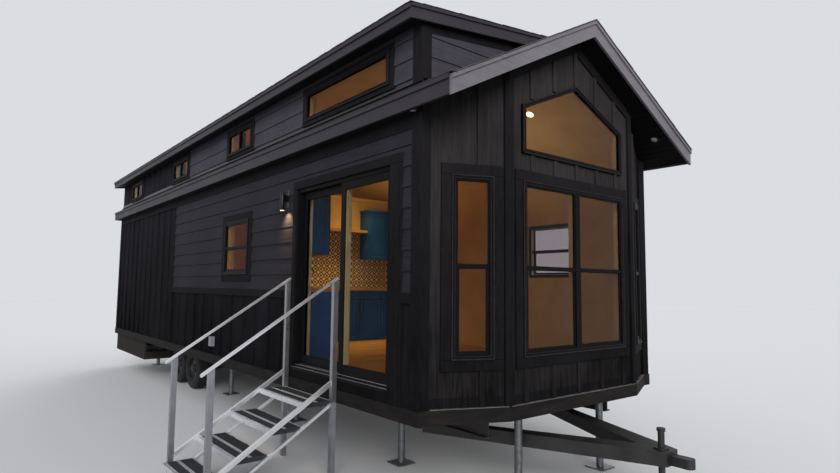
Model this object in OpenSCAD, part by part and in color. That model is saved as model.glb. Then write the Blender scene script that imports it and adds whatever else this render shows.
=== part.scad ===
// Tiny house on wheels: a park-model cabin with a three-sided front bay,
// a long dormer over the door side, a trailer chassis and an entry stair.
// Every length is in millimetres. The door side faces -X and the bay faces -Y.

/* [House body] */
// Outer width across the two side walls
body_w = 3556; // [3200:10:3900]
// Outer length of the side walls
body_l = 11275; // [10400:25:12000]
// Thickness of a framed and clad wall
wall_t = 120; // [100:5:140]
// Height of the finished floor above the ground
floor_z = 960; // [920:10:1000]
// Thickness of the floor deck
floor_t = 180; // [140:10:200]

/* [Front bay] */
// How far the bay stands out from the front wall line
bay_out = 300; // [250:5:360]
// Front wall left at each side of the bay, up to the house corner
bay_return = 96; // [80:2:110]
// Width that each angled wall takes from the front
bay_side_run = 677; // [640:1:720]

/* [Roofs] */
// Depth below the roof edges' boards that the shingles take up
shingle_t = 12; // [8:1:16]
// Rise of the gable roof for each unit of run
pitch = 0.53; // [0.5:0.01:0.58]
// Height of the lower eave's fascia above the ground, at its lower edge
eave_z = 3395; // [3360:5:3430]
// Height of the eave fascias
fascia_h = 165; // [150:5:180]
// How far the eaves stand out from the side walls
eave_out = 153; // [120:1:170]
// How far the gable roof stands out in front of the bay
gable_out = 259; // [200:1:300]
// How far the roofs stand out behind the rear wall
rear_out = 90; // [60:5:120]
// How far the dormer roof's plane lies below the ridge, at the middle
dormer_drop = 50; // [40:1:60]
// Height of the dormer fascia
dormer_fascia_h = 140; // [120:5:150]
// Rise of the dormer roof for each unit of run
dormer_pitch = 0.118; // [0.1:0.002:0.13]
// How far the dormer roof stands out from the wall, sideways
dormer_out = 200; // [170:5:220]
// How far the dormer roof stands out from the wall, forwards
dormer_front_out = 95; // [70:5:120]

/* [Patio door] */
// Distance of the door frame from the front corner
door_y = 410; // [380:5:450]
// Width of the door frame
door_w = 1835; // [1800:5:1900]
// Height of the door frame
door_h = 2042; // [1980:2:2080]
// How much wider the sliding panel is than the fixed one
panel_uneven = 135; // [0:5:200]
// Gap around the sliding panel
slide_gap = 5; // [5:1:8]

/* [Windows] */
// Centre of the small side window, from the front corner
side_win_y = 4050; // [4000:5:4100]
// Width of the double-hung side windows
side_win_w = 850; // [780:5:860]
// Height of the double-hung side windows
side_win_h = 750; // [700:5:800]
// Height of a side window's sill above the ground
side_win_z = 2040; // [2000:5:2080]
// Centre of the middle windows, from the front corner
mid_win_y = 6777; // [6600:1:6900]
// Distance of the rear windows' centres from the rear wall
rear_win_off = 1405; // [1300:5:1500]
// Width of a short dormer window
dormer_win_w = 850; // [760:5:880]
// How much shorter the long dormer window is than the door below it
dormer_long_less = 205; // [150:5:300]
// Height of the dormer windows
dormer_win_h = 337; // [300:1:345]
// Distance from the dormer roof's underside down to the dormer windows
dormer_win_drop = 103; // [90:1:110]
// Height of the bay windows' sills above the ground
bay_win_z = 1275; // [1240:1:1300]
// Height of the bay windows
bay_win_h = 1608; // [1560:2:1650]
// Wall left beside the twin window, up to the edge of the bay's flat middle
bay_win_margin = 189; // [180:1:230]
// Wall left at each side of the narrow windows in the angled walls
angled_win_margin = 172; // [170:1:190]
// Height of the gable window's sill above the ground
gable_win_z = 3137; // [3110:1:3160]

/* [Trailer] */
// Distance between the centres of the two main beams
rail_gauge = 1900; // [1800:10:2000]
// Diameter of the tyres
tyre_d = 740; // [700:5:760]
// Width of the tyres
tyre_w = 205; // [180:5:230]
// Distance between the two axles
axle_gap = 838; // [800:2:900]
// Distance of the front axle from the rear wall
axle_off = 4185; // [4000:5:4400]
// Length of the storage box under the rear floor
box_l = 2500; // [2200:10:2700]
// How far the coupler's nose stands in front of the front wall line
tongue_out = 1426; // [1350:2:1600]

/* [Kitchen] */
// Distance of the kitchen's rear wall from the front corner
kitchen_y = 5080; // [4900:10:5200]
// Width of the passage beside the kitchen's rear wall
passage_w = 800; // [700:10:900]
// Height of the base cabinets
base_h = 860; // [820:5:880]
// Depth of the base cabinets
base_d = 600; // [560:5:620]
// Width of a two-door base cabinet
cabinet_w = 850; // [800:2:860]

/* [Stair] */
// Width of the stair across its posts
stair_w = 1100; // [1000:10:1200]
// Rise from tread to tread
stair_rise = 204; // [195:1:206]
// Run from tread to tread
stair_run = 328; // [300:2:340]
// Depth of a tread
tread_d = 300; // [270:5:310]
// Number of treads
tread_count = 4; // [3:1:4]

/* [Hidden] */
$fn = 64;
CHARCOAL = [0.17, 0.17, 0.18];
FASCIA_GREY = [0.27, 0.27, 0.28];
SHINGLE = [0.33, 0.29, 0.26];
STEEL_BLACK = [0.07, 0.07, 0.08];
SILVER = [0.78, 0.78, 0.80];
GLASS = [0.75, 0.80, 0.85, 0.35];
CREAM = [0.86, 0.78, 0.58];
BLUE = [0.13, 0.27, 0.38];
OAK = [0.72, 0.50, 0.27];

half_w = body_w / 2;
inner_half = half_w - wall_t;
rear_y = body_l;
bay_half = half_w - bay_return;
bay_flat_half = bay_half - bay_side_run;
bay_angle = atan(bay_out / bay_side_run);
bay_len = sqrt(bay_out * bay_out + bay_side_run * bay_side_run);
mitre = tan(bay_angle / 2);
tiny = 1;
// Keeps faces that only touch from crossing where a coordinate is rounded
seat_gap = 0.02;

// Roof planes. x is the distance from the ridge, negative on the door side.
roof_v = 150;
board_t = 25;
strip_t = 15;
barge_h = 178;
barge_strip_h = 48;
fascia_strip_h = 42;
ridge_cap_half = 110;
eave_half = half_w + eave_out;
slab_half = eave_half - board_t;
soffit_z = eave_z + 20;
ridge_z = eave_z + fascia_h + pitch * eave_half;
roof_front_y = -(bay_out + gable_out);
roof_rear_y = rear_y + rear_out;
dormer_v = 120;
dormer_half = half_w + dormer_out;
dormer_ridge_z = ridge_z - dormer_drop;
dormer_z = dormer_ridge_z - dormer_pitch * dormer_half - dormer_fascia_h;
dormer_meet_x = -dormer_drop / (pitch - dormer_pitch);
function roof_top(x) = ridge_z - pitch * abs(x);
function roof_deck(x) = roof_top(x) - shingle_t;
function roof_under(x) = roof_top(x) - roof_v;
function dormer_top(x) = dormer_ridge_z + dormer_pitch * x;
function dormer_deck(x) = dormer_top(x) - shingle_t;
function dormer_under(x) = dormer_top(x) - dormer_v;
// The walls' tops, just under the dormer roof
function dormer_seat(x) = dormer_under(x) - seat_gap;

// The plan outline of the house, moved outwards by o.
function plan(o) = [
    [-half_w - o, -o], [-bay_half - o * mitre, -o],
    [-bay_flat_half - o * mitre, -bay_out - o], [bay_flat_half + o * mitre, -bay_out - o],
    [bay_half + o * mitre, -o], [half_w + o, -o],
    [half_w + o, rear_y + o], [-half_w - o, rear_y + o]];

// Trim boards
trim_out = 25;
corner_w = 92;
bay_corner_w = 55;
bay_corner_side = 45;
band_bottom_z = 745;
band_h = 125;
band_out = trim_out + 8;
band_top_z = band_bottom_z + band_h;
wainscot_top_z = 1840;
wainscot_rail_h = 88;
lap_end_y = 6993;
frieze_h = 140;
rake_frieze_h = 118;
dormer_frieze_h = 88;
casing_w = 95;
dormer_casing_w = 70;
dormer_casing_h = 50;
door_casing_front = 180;
door_casing_rear = 70;
door_casing_head = 88;

// Doors and windows
frame_depth = 60;
frame_set = -30;
pane_y = frame_set + 24;
sash_w = 45;
rail_half = 20;
mullion_w = 70;
slider_bar_w = 30;
pane_t = 14;
door_depth = 110;
door_jamb = 40;
door_sill_h = 54;
panel_t = 34;
panel_stile = 80;
fixed_stile = 30;
panel_rail = 100;
handle_z = 880;
panel_gap = 12;
roller_r = 12;
outer_track = 8;
inner_track = outer_track + panel_t + panel_gap;
door_top_z = floor_z + door_h;
panel_h = door_h - door_sill_h - door_jamb;
fixed_w = (door_w - 2 * door_jamb + panel_stile - panel_uneven) / 2;
slider_w = fixed_w + panel_uneven;
bay_win_half = bay_flat_half - bay_win_margin;
bay_win_x = -15;
angled_win_w = bay_len - 2 * angled_win_margin;
angled_win_shift = 27;
rear_win_y = rear_y - rear_win_off;
dormer_long_w = door_w - dormer_long_less;
long_win_front = 43;
long_win_y = door_y + long_win_front + dormer_long_w / 2;
dormer_win_z = dormer_ridge_z - dormer_pitch * half_w - dormer_v - dormer_win_drop - dormer_win_h;
dormer_win_y = [side_win_y, mid_win_y, rear_win_y];
right_win_y = [1335, side_win_y, mid_win_y, rear_win_y];
gable_win_shoulder = 461;
gable_win_rise = 354;

// Trailer
beam_top_z = floor_z - floor_t;
rail_beam_h = 250;
rail_beam_w = 100;
rail_web = 12;
rail_x = rail_gauge / 2;
beam_low_z = beam_top_z - rail_beam_h;
tyre_r = tyre_d / 2;
wheel_front_y = rear_y - axle_off;
wheel_y = [wheel_front_y, wheel_front_y + axle_gap];
cross_w = 60;
cross_deep = 90;
outrigger_deep = 70;
cross_first_y = 60;
cross_front_end = wheel_y[0] - tyre_r - 260;
cross_rear_start = wheel_y[1] + tyre_r + 102;
cross_last_y = rear_y - 175;
cross_y = [for (i = [0 : 4]) cross_first_y + i * (cross_front_end - cross_first_y) / 4,
    for (i = [0 : 2]) cross_rear_start + i * (cross_last_y - cross_rear_start) / 2];
hub_bore_r = 30.05;
spindle_r = 30;
wheel_x = rail_x + 305;
axle_r = 45;
spring_half_l = 330;
spring_half_w = 30;
box_front_y = rear_y - box_l;
box_wall = 40;
stand_first_y = 1300;
stand_wheel_gap = 520;
stand_last_y = wheel_y[0] - tyre_r - stand_wheel_gap;
front_stand_x = 650;
front_stand_in = 205;
rear_stand_in = 475;
stand_y = [for (i = [0 : 2]) stand_first_y + i * (stand_last_y - stand_first_y) / 2];
box_low_z = 380;
jack_y = -1140;
tongue_h = 120;
leg_out = 40;
leg_in = 60;
leg_fork = 520;
coupler_r = 50;
ball_r = 30;

// Stair
post = 50;
stair_mid_y = door_y + door_w - 445;
tread_x = -half_w - 367;
tread_top_z = floor_z - stair_rise + 8;
tread_t = 45;
bar = 38;
low_bar = 25;
hand_w = 48;
hand_t = 22;
hand_foot_z = 1108;
hand_slope = 0.646;
stair_slope = stair_rise / stair_run;
top_post_x = -(half_w + band_out + post / 2);
foot_post_x = tread_x - (tread_count - 1) * stair_run + 80;

// The origin lies on the ground at the middle of the whole object's box.
hand_end_x = foot_post_x - 85;
shift_x = -(hand_end_x + eave_half + strip_t) / 2;
shift_y = -(roof_rear_y + strip_t - tongue_out) / 2;

module in_frame() translate([shift_x, shift_y, 0]) children();

// A prism along Y from an outline of [x, z] points
module along_y(y0, y1, pts) {
    translate([0, y1, 0]) rotate([90, 0, 0]) linear_extrude(y1 - y0) polygon(pts);
}
// A prism along X from an outline of [y, z] points
module along_x(x0, x1, pts) {
    translate([x0, 0, 0]) rotate([90, 0, 90]) linear_extrude(x1 - x0) polygon(pts);
}
// A box from its lowest to its highest corner
module slab(low, high) {
    translate(low) cube(high - low);
}
// Local frames on the outside of each wall: x along it, y into it, z up. Those on the
// bay start at the middle of its windows.
module on_left(y) translate([-half_w, y, 0]) rotate([0, 0, -90]) children();
module on_right(y) translate([half_w, y, 0]) rotate([0, 0, 90]) children();
module on_rear(x) translate([x, rear_y, 0]) rotate([0, 0, 180]) children();
module on_bay() translate([bay_win_x, -bay_out, 0]) children();
module on_angled(side) {
    mirror([side > 0 ? 1 : 0, 0, 0]) translate([-bay_half, 0, 0])
        rotate([0, 0, -bay_angle]) translate([bay_len / 2 + angled_win_shift, 0, 0]) children();
}

// The outline of a window hole or sash, centred on x, standing on z = 0
module win_box(w, h, inset, y0, y1) {
    slab([-w / 2 + inset, y0, inset], [w / 2 - inset, y1, h - inset]);
}
// A window frame, with a meeting rail when asked for and an upright bar as wide as asked
module win_frame(w, h, rail, bar_w) {
    lap = sash_w / 2;
    difference() {
        win_box(w, h, 0, frame_set, frame_depth);
        win_box(w, h, sash_w, frame_set - 10, frame_depth + 10);
    }
    if (rail) slab([-w / 2 + lap, frame_set + 15, h / 2 - rail_half],
        [w / 2 - lap, frame_depth - 15, h / 2 + rail_half]);
    if (bar_w > 0) slab([-bar_w / 2, frame_set, lap], [bar_w / 2, frame_depth, h - lap]);
}
module win_pane(w, h, rail, bar_w) {
    difference() {
        win_box(w, h, sash_w, pane_y - pane_t / 2, pane_y + pane_t / 2);
        if (rail) slab([-w, frame_set, h / 2 - rail_half], [w, frame_depth, h / 2 + rail_half]);
        if (bar_w > 0) slab([-bar_w / 2, frame_set, 0], [bar_w / 2, frame_depth, h]);
    }
}
// Flat boards around a window, as wide beside it and as high above and below as asked
module casing(w, h, wide, high) {
    difference() {
        slab([-w / 2 - wide, -trim_out, -high], [w / 2 + wide, 0, h + high]);
        win_box(w, h, 0, -trim_out - 10, 10);
    }
}

// Volumes below the roofs, for trimming the walls
module under_gable() {
    along_y(-bay_out - 200, rear_y + 200, [[-half_w - 50, 0], [half_w + 50, 0],
        [half_w + 50, roof_under(half_w + 50)], [0, roof_under(0)],
        [-half_w - 50, roof_under(half_w + 50)]]);
}
module prism_up(pts) {
    translate([0, 0, floor_z]) linear_extrude(ridge_z - floor_z) polygon(pts);
}

// Trailer chassis
module i_beam(x, y0, y1) {
    top = beam_top_z;
    low = beam_low_z;
    fl = rail_web;
    w = rail_beam_w / 2;
    along_y(y0, y1, [[x - w, top], [x + w, top], [x + w, top - fl], [x + fl / 2, top - fl],
        [x + fl / 2, low + fl], [x + w, low + fl], [x + w, low], [x - w, low],
        [x - w, low + fl], [x - fl / 2, low + fl], [x - fl / 2, top - fl], [x - w, top - fl]]);
}
module chassis_rails() in_frame() color(STEEL_BLACK) {
    for (s = [-1, 1]) i_beam(s * rail_x, 0, rear_y - 20);
}
module cross_members() in_frame() color(STEEL_BLACK) {
    inner = rail_x - rail_beam_w / 2;
    outer = rail_x + rail_beam_w / 2;
    tip = half_w - 70;
    for (y = cross_y) {
        slab([-inner, y, beam_top_z - cross_deep], [inner, y + cross_w, beam_top_z]);
        for (s = [-1, 1]) {
            x0 = s > 0 ? outer : -tip;
            x1 = s > 0 ? tip : -outer;
            slab([x0, y, beam_top_z - outrigger_deep], [x1, y + cross_w, beam_top_z]);
        }
    }
}
module tongue() in_frame() color(STEEL_BLACK) {
    top = beam_low_z;
    low = top - tongue_h;
    nose = -tongue_out;
    back = 900;
    difference() {
        translate([0, 0, low]) linear_extrude(tongue_h) polygon([
            [-90, nose + 190], [90, nose + 190], [rail_x + leg_out, back], [rail_x - leg_in, back],
            [0, nose + leg_fork], [-rail_x + leg_in, back], [-rail_x - leg_out, back]]);
        translate([0, jack_y, low - 10]) cylinder(r = 32, h = 200);
    }
    difference() {
        union() {
            slab([-48, nose + coupler_r, low + 10], [48, nose + 192, low + 90]);
            translate([0, nose + coupler_r, low + 10]) cylinder(r = coupler_r, h = 80);
        }
        translate([0, nose + coupler_r, low + 28]) sphere(r = ball_r);
    }
}
module tongue_jack() in_frame() color(STEEL_BLACK) {
    top = beam_low_z;
    translate([0, jack_y, 18]) cylinder(r = 28, h = top + 130);
    translate([0, jack_y, 0]) cylinder(r = 85, h = 18);
    translate([0, jack_y, top]) cylinder(r = 62, h = 14);
    translate([0, jack_y, top + 148]) cylinder(r = 36, h = 26);
}
module axles() in_frame() color(STEEL_BLACK) {
    tube_half = wheel_x - tyre_w / 2 - 8;
    spindle_half = wheel_x + 70;
    spring_z = tyre_r + axle_r;
    hanger_y = spring_half_l - 20;
    for (y = wheel_y) {
        translate([-tube_half, y, tyre_r]) rotate([0, 90, 0]) cylinder(r = axle_r, h = 2 * tube_half);
        translate([-spindle_half, y, tyre_r]) rotate([0, 90, 0])
            cylinder(r = spindle_r, h = 2 * spindle_half);
        for (s = [-1, 1]) {
            x0 = s * rail_x - spring_half_w;
            x1 = s * rail_x + spring_half_w;
            slab([x0, y - spring_half_l, spring_z - 8], [x1, y + spring_half_l, spring_z + 30]);
            for (e = [-1, 1])
                slab([x0, y + e * hanger_y - 20, spring_z], [x1, y + e * hanger_y + 20, beam_low_z]);
        }
    }
}
// A tyre on a dished steel rim, turning on the spindle
module wheel(side, y) in_frame() color(STEEL_BLACK) {
    translate([side * wheel_x, y, tyre_r]) rotate([0, side * 90, 0]) difference() {
        union() {
            rotate_extrude() polygon([
                [210, -tyre_w / 2 + 12], [tyre_r - 60, -tyre_w / 2], [tyre_r - 14, -tyre_w / 2 + 20],
                [tyre_r, -tyre_w / 2 + 48], [tyre_r, tyre_w / 2 - 48], [tyre_r - 14, tyre_w / 2 - 20],
                [tyre_r - 60, tyre_w / 2], [210, tyre_w / 2 - 12], [200, tyre_w / 2 - 20],
                [188, 40], [80, 22], [70, 62], [hub_bore_r, 62], [hub_bore_r, -30], [80, -30],
                [188, 10], [200, -tyre_w / 2 + 20]]);
        }
        for (a = [0 : 72 : 288]) rotate([0, 0, a]) translate([130, 0, -60]) cylinder(r = 16, h = 160);
    }
}
module wheel_left_front() wheel(-1, wheel_y[0]);
module wheel_left_rear() wheel(-1, wheel_y[1]);
module wheel_right_front() wheel(1, wheel_y[0]);
module wheel_right_rear() wheel(1, wheel_y[1]);
// Steel screw stands under the main beams
module stand(x, y, top) {
    translate([x, y, 0]) {
        slab([-110, -110, 0], [110, 110, 14]);
        translate([0, 0, 14]) cylinder(r = 38, h = top - 114);
        translate([0, 0, top - 100]) cylinder(r = 20, h = 90);
        slab([-60, -60, top - 10], [60, 60, top]);
    }
}
module support_stands() in_frame() color([0.45, 0.46, 0.47]) {
    for (s = [-1, 1]) {
        for (y = stand_y) stand(s * rail_x, y, beam_low_z);
        stand(s * front_stand_x, -bay_out + front_stand_in, beam_top_z);
        stand(s * rail_x, rear_y - rear_stand_in, box_low_z);
    }
}
module underfloor_box() in_frame() color(CHARCOAL) {
    x1 = half_w - 20;
    y1 = rear_y - 12;
    slab([-x1, box_front_y, box_low_z], [x1, y1, box_low_z + box_wall]);
    for (s = [-1, 1]) {
        x0 = s > 0 ? x1 - box_wall : -x1;
        slab([x0, box_front_y, box_low_z], [x0 + box_wall, y1, beam_top_z]);
    }
    for (y = [box_front_y, y1 - box_wall]) slab([-x1, y, box_low_z], [x1, y + box_wall, beam_low_z]);
}

// Floor and walls
module floor_deck() in_frame() color(CHARCOAL) {
    translate([0, 0, floor_z - floor_t]) linear_extrude(floor_t) polygon(plan(0));
}
module left_wall_part(y0, y1) {
    along_y(y0, y1, [[-half_w, floor_z], [-inner_half, floor_z],
        [-inner_half, dormer_seat(-inner_half)], [-half_w, dormer_seat(-half_w)]]);
}
module left_wall_front() in_frame() color(CHARCOAL) {
    left_wall_part(0, door_y);
}
module left_wall_over_door() in_frame() color(CHARCOAL) difference() {
    left_wall_part(door_y, door_y + door_w);
    slab([-half_w - 10, door_y - 10, 0], [-inner_half + 10, door_y + door_w + 10, door_top_z]);
    translate([0, 0, dormer_win_z]) on_left(long_win_y)
        win_box(dormer_long_w, dormer_win_h, 0, -10, wall_t + 10);
}
module left_wall_rear() in_frame() color(CHARCOAL) difference() {
    left_wall_part(door_y + door_w, rear_y);
    for (y = dormer_win_y) translate([0, 0, dormer_win_z])
        on_left(y) win_box(dormer_win_w, dormer_win_h, 0, -10, wall_t + 10);
    translate([0, 0, side_win_z]) on_left(side_win_y) win_box(side_win_w, side_win_h, 0, -10, wall_t + 10);
}
module right_wall() in_frame() color(CHARCOAL) difference() {
    along_y(0, rear_y, [[inner_half, floor_z], [half_w, floor_z],
        [half_w, roof_under(half_w)], [inner_half, roof_under(inner_half)]]);
    for (y = right_win_y) translate([0, 0, side_win_z])
        on_right(y) win_box(side_win_w, side_win_h, 0, -10, wall_t + 10);
}
module rear_wall() in_frame() color(CHARCOAL) difference() {
    along_y(rear_y - wall_t, rear_y, [[-inner_half, floor_z], [inner_half, floor_z],
        [inner_half, roof_under(inner_half)], [0, roof_under(0)],
        [dormer_meet_x, roof_under(dormer_meet_x)], [dormer_meet_x, dormer_seat(dormer_meet_x)],
        [-inner_half, dormer_seat(-inner_half)]]);
    translate([0, 0, side_win_z]) on_rear(0) win_box(side_win_w, side_win_h, 0, -10, wall_t + 10);
}
module angled_wall(side) intersection() {
    difference() {
        mirror([side > 0 ? 1 : 0, 0, 0]) prism_up([
            [-bay_half, 0], [-bay_flat_half, -bay_out],
            [-bay_flat_half + wall_t * mitre, -bay_out + wall_t],
            [-bay_half + wall_t * mitre, wall_t], [-inner_half, wall_t], [-inner_half, 0]]);
        translate([0, 0, bay_win_z]) on_angled(side) win_box(angled_win_w, bay_win_h, 0, -10, wall_t + 10);
    }
    under_gable();
}
module bay_left_wall() in_frame() color(CHARCOAL) angled_wall(-1);
module bay_right_wall() in_frame() color(CHARCOAL) angled_wall(1);
module gable_win_outline(inset) {
    w = bay_win_half - inset;
    cut = inset * (sqrt(1 + pow(gable_win_rise / bay_win_half, 2)));
    shoulder = gable_win_shoulder - cut + gable_win_rise * (1 - w / bay_win_half);
    polygon([[-w, inset], [w, inset], [w, shoulder], [0, gable_win_shoulder + gable_win_rise - cut],
        [-w, shoulder]]);
}
module gable_win_solid(inset, y0, y1) {
    translate([0, y1, gable_win_z]) rotate([90, 0, 0]) linear_extrude(y1 - y0) gable_win_outline(inset);
}
module bay_front_wall() in_frame() color(CHARCOAL) intersection() {
    difference() {
        prism_up([[-bay_flat_half, -bay_out], [bay_flat_half, -bay_out],
            [bay_flat_half - wall_t * mitre, -bay_out + wall_t],
            [-bay_flat_half + wall_t * mitre, -bay_out + wall_t]]);
        translate([0, 0, bay_win_z]) on_bay() win_box(2 * bay_win_half, bay_win_h, 0, -10, wall_t + 10);
        on_bay() gable_win_solid(0, -10, wall_t + 10);
    }
    under_gable();
}
module dormer_front_wall() in_frame() color(CHARCOAL) {
    along_y(0, wall_t, [[-inner_half, roof_under(inner_half)], [dormer_meet_x, roof_under(dormer_meet_x)],
        [dormer_meet_x, dormer_seat(dormer_meet_x)], [-inner_half, dormer_seat(-inner_half)]]);
}

// Roofs
module main_roof() in_frame() color(SHINGLE) {
    along_y(roof_front_y + board_t, roof_rear_y - board_t, [[0, roof_deck(0)],
        [slab_half, roof_deck(slab_half)], [slab_half, roof_under(slab_half)], [0, roof_under(0)]]);
    along_y(0, roof_rear_y - board_t, [[tiny, roof_deck(tiny)], [0, roof_deck(0)],
        [dormer_meet_x, roof_deck(dormer_meet_x)], [dormer_meet_x, roof_under(dormer_meet_x)],
        [0, roof_under(0)], [tiny, roof_under(tiny)]]);
    // the cap along the ridge
    along_y(roof_front_y - strip_t, roof_rear_y + strip_t, [[0, ridge_z],
        [ridge_cap_half, roof_top(ridge_cap_half)], [ridge_cap_half, roof_deck(ridge_cap_half)],
        [0, roof_deck(0)], [-ridge_cap_half, roof_deck(ridge_cap_half)],
        [-ridge_cap_half, roof_top(ridge_cap_half)]]);
}
module bay_roof() in_frame() color(SHINGLE) {
    along_y(roof_front_y + board_t, 0, [[0, roof_deck(0)], [-slab_half, roof_deck(slab_half)],
        [-slab_half, roof_under(slab_half)], [0, roof_under(0)]]);
}
module dormer_roof() in_frame() color(SHINGLE) difference() {
    x = -dormer_half + board_t;
    along_y(-dormer_front_out + board_t, roof_rear_y - board_t, [[dormer_meet_x, dormer_deck(dormer_meet_x)],
        [x, dormer_deck(x)], [x, dormer_under(x)], [dormer_meet_x, dormer_under(dormer_meet_x)]]);
    along_y(-dormer_front_out - 10, 0, [[tiny, 0], [tiny, roof_top(tiny)], [0, ridge_z],
        [-half_w, roof_top(half_w)], [-half_w, 0]]);
}
module eave_roof() in_frame() color(SHINGLE) {
    along_y(0, roof_rear_y - board_t, [[-half_w, roof_deck(half_w)], [-slab_half, roof_deck(slab_half)],
        [-slab_half, soffit_z], [-half_w, soffit_z]]);
}

// Boards along the edges of the roofs, each with a thinner strip along its top
module fascia_profile(x0, side, z0, z1) {
    x1 = x0 + side * board_t;
    x2 = x1 + side * strip_t;
    low = z1 - fascia_strip_h;
    polygon([[x0, z0], [x1, z0], [x1, low], [x2, low], [x2, z1], [x0, z1]]);
}
module eave_fascias() in_frame() color(FASCIA_GREY) {
    for (s = [-1, 1]) translate([0, roof_rear_y - board_t, 0]) rotate([90, 0, 0])
        linear_extrude(roof_rear_y - roof_front_y - 2 * board_t)
            fascia_profile(s * slab_half, s, eave_z, eave_z + fascia_h);
    slab([-eave_half, roof_rear_y - board_t, eave_z], [-half_w, roof_rear_y, eave_z + fascia_h]);
}
module rake_band(y0, y1, low, high) {
    along_y(y0, y1, [[-eave_half, roof_top(eave_half) - low], [0, ridge_z - low],
        [eave_half, roof_top(eave_half) - low], [eave_half, roof_top(eave_half) - high],
        [0, ridge_z - high], [-eave_half, roof_top(eave_half) - high]]);
}
module barge_boards() in_frame() color(FASCIA_GREY) {
    rake_band(roof_front_y, roof_front_y + board_t, shingle_t, barge_h);
    rake_band(roof_front_y - strip_t, roof_front_y + 5, shingle_t, barge_strip_h);
    difference() {
        union() {
            rake_band(roof_rear_y - board_t, roof_rear_y, shingle_t, barge_h);
            rake_band(roof_rear_y - 5, roof_rear_y + strip_t, shingle_t, barge_strip_h);
        }
        slab([-half_w * 2, roof_rear_y - 100, 0], [dormer_meet_x, roof_rear_y + 100, ridge_z]);
    }
}
// The dormer's fascia along the side, the front rake and the rear rake
module dormer_rake(y0, y1, high) {
    x1 = dormer_meet_x;
    along_y(y0, y1, [[-dormer_half, dormer_deck(-dormer_half)], [x1, dormer_deck(x1)],
        [x1, dormer_top(x1) - high], [-dormer_half, dormer_top(-dormer_half) - high]]);
}
module dormer_fascias() in_frame() color(FASCIA_GREY) {
    side_x = -dormer_half + board_t;
    translate([0, roof_rear_y, 0]) rotate([90, 0, 0]) linear_extrude(roof_rear_y + dormer_front_out)
        fascia_profile(side_x, -1, dormer_z, dormer_deck(-dormer_half));
    difference() {
        union() {
            dormer_rake(-dormer_front_out, -dormer_front_out + board_t, dormer_fascia_h);
            dormer_rake(-dormer_front_out - strip_t, -dormer_front_out + 5, fascia_strip_h);
        }
        along_y(-dormer_front_out - 50, 0, [[tiny, 0], [tiny, roof_top(tiny)], [0, ridge_z],
            [-half_w, roof_top(half_w)], [-half_w, 0]]);
    }
    dormer_rake(roof_rear_y - board_t, roof_rear_y, dormer_fascia_h);
    dormer_rake(roof_rear_y - 5, roof_rear_y + strip_t, fascia_strip_h);
}

// Trim on the walls
module belly_band() in_frame() color(CHARCOAL) {
    translate([0, 0, band_bottom_z]) linear_extrude(band_h) difference() {
        polygon(plan(band_out));
        polygon(plan(0));
    }
}
module corner_boards() in_frame() color(CHARCOAL) {
    low = band_top_z;
    t = trim_out;
    // front left corner, up to the lower eave and again beside the dormer
    slab([-half_w - t, -t, low], [-half_w, corner_w, soffit_z - 5]);
    slab([-half_w, -t, low], [-bay_half - t * mitre, 0, roof_under(half_w)]);
    slab([-half_w - t, -t, roof_top(half_w) + 30], [-half_w, corner_w, dormer_under(-half_w) - 5]);
    slab([-half_w, -t, roof_top(half_w) + 60], [-half_w + corner_w, 0, dormer_under(-half_w) - 5]);
    // front right corner
    slab([half_w, -t, low], [half_w + t, corner_w, roof_under(half_w + t)]);
    slab([bay_half + t * mitre, -t, low], [half_w, 0, roof_under(half_w)]);
    // rear corners
    for (s = [-1, 1]) {
        x0 = s > 0 ? half_w : -half_w - t;
        slab([x0, rear_y - corner_w, low], [x0 + t, rear_y + t, soffit_z - 5]);
        x1 = s > 0 ? half_w - corner_w : -half_w;
        slab([x1, rear_y, low], [x1 + corner_w, rear_y + t, soffit_z - 5]);
    }
    // edges of the bay
    x0 = -bay_flat_half;
    x1 = x0 - t * mitre;
    back_x = bay_corner_side * cos(bay_angle) + seat_gap * sin(bay_angle);
    back_y = bay_corner_side * sin(bay_angle) - seat_gap * cos(bay_angle);
    for (s = [-1, 1]) intersection() {
        mirror([s > 0 ? 1 : 0, 0, 0]) translate([0, 0, low]) linear_extrude(ridge_z - low) polygon([
            [x0, -bay_out], [x0 + bay_corner_w, -bay_out], [x0 + bay_corner_w, -bay_out - t],
            [x1, -bay_out - t], [x1 - back_x, -bay_out - t + back_y], [x0 - back_x, -bay_out + back_y]]);
        translate([0, 0, -40]) under_gable();
    }
}
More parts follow.
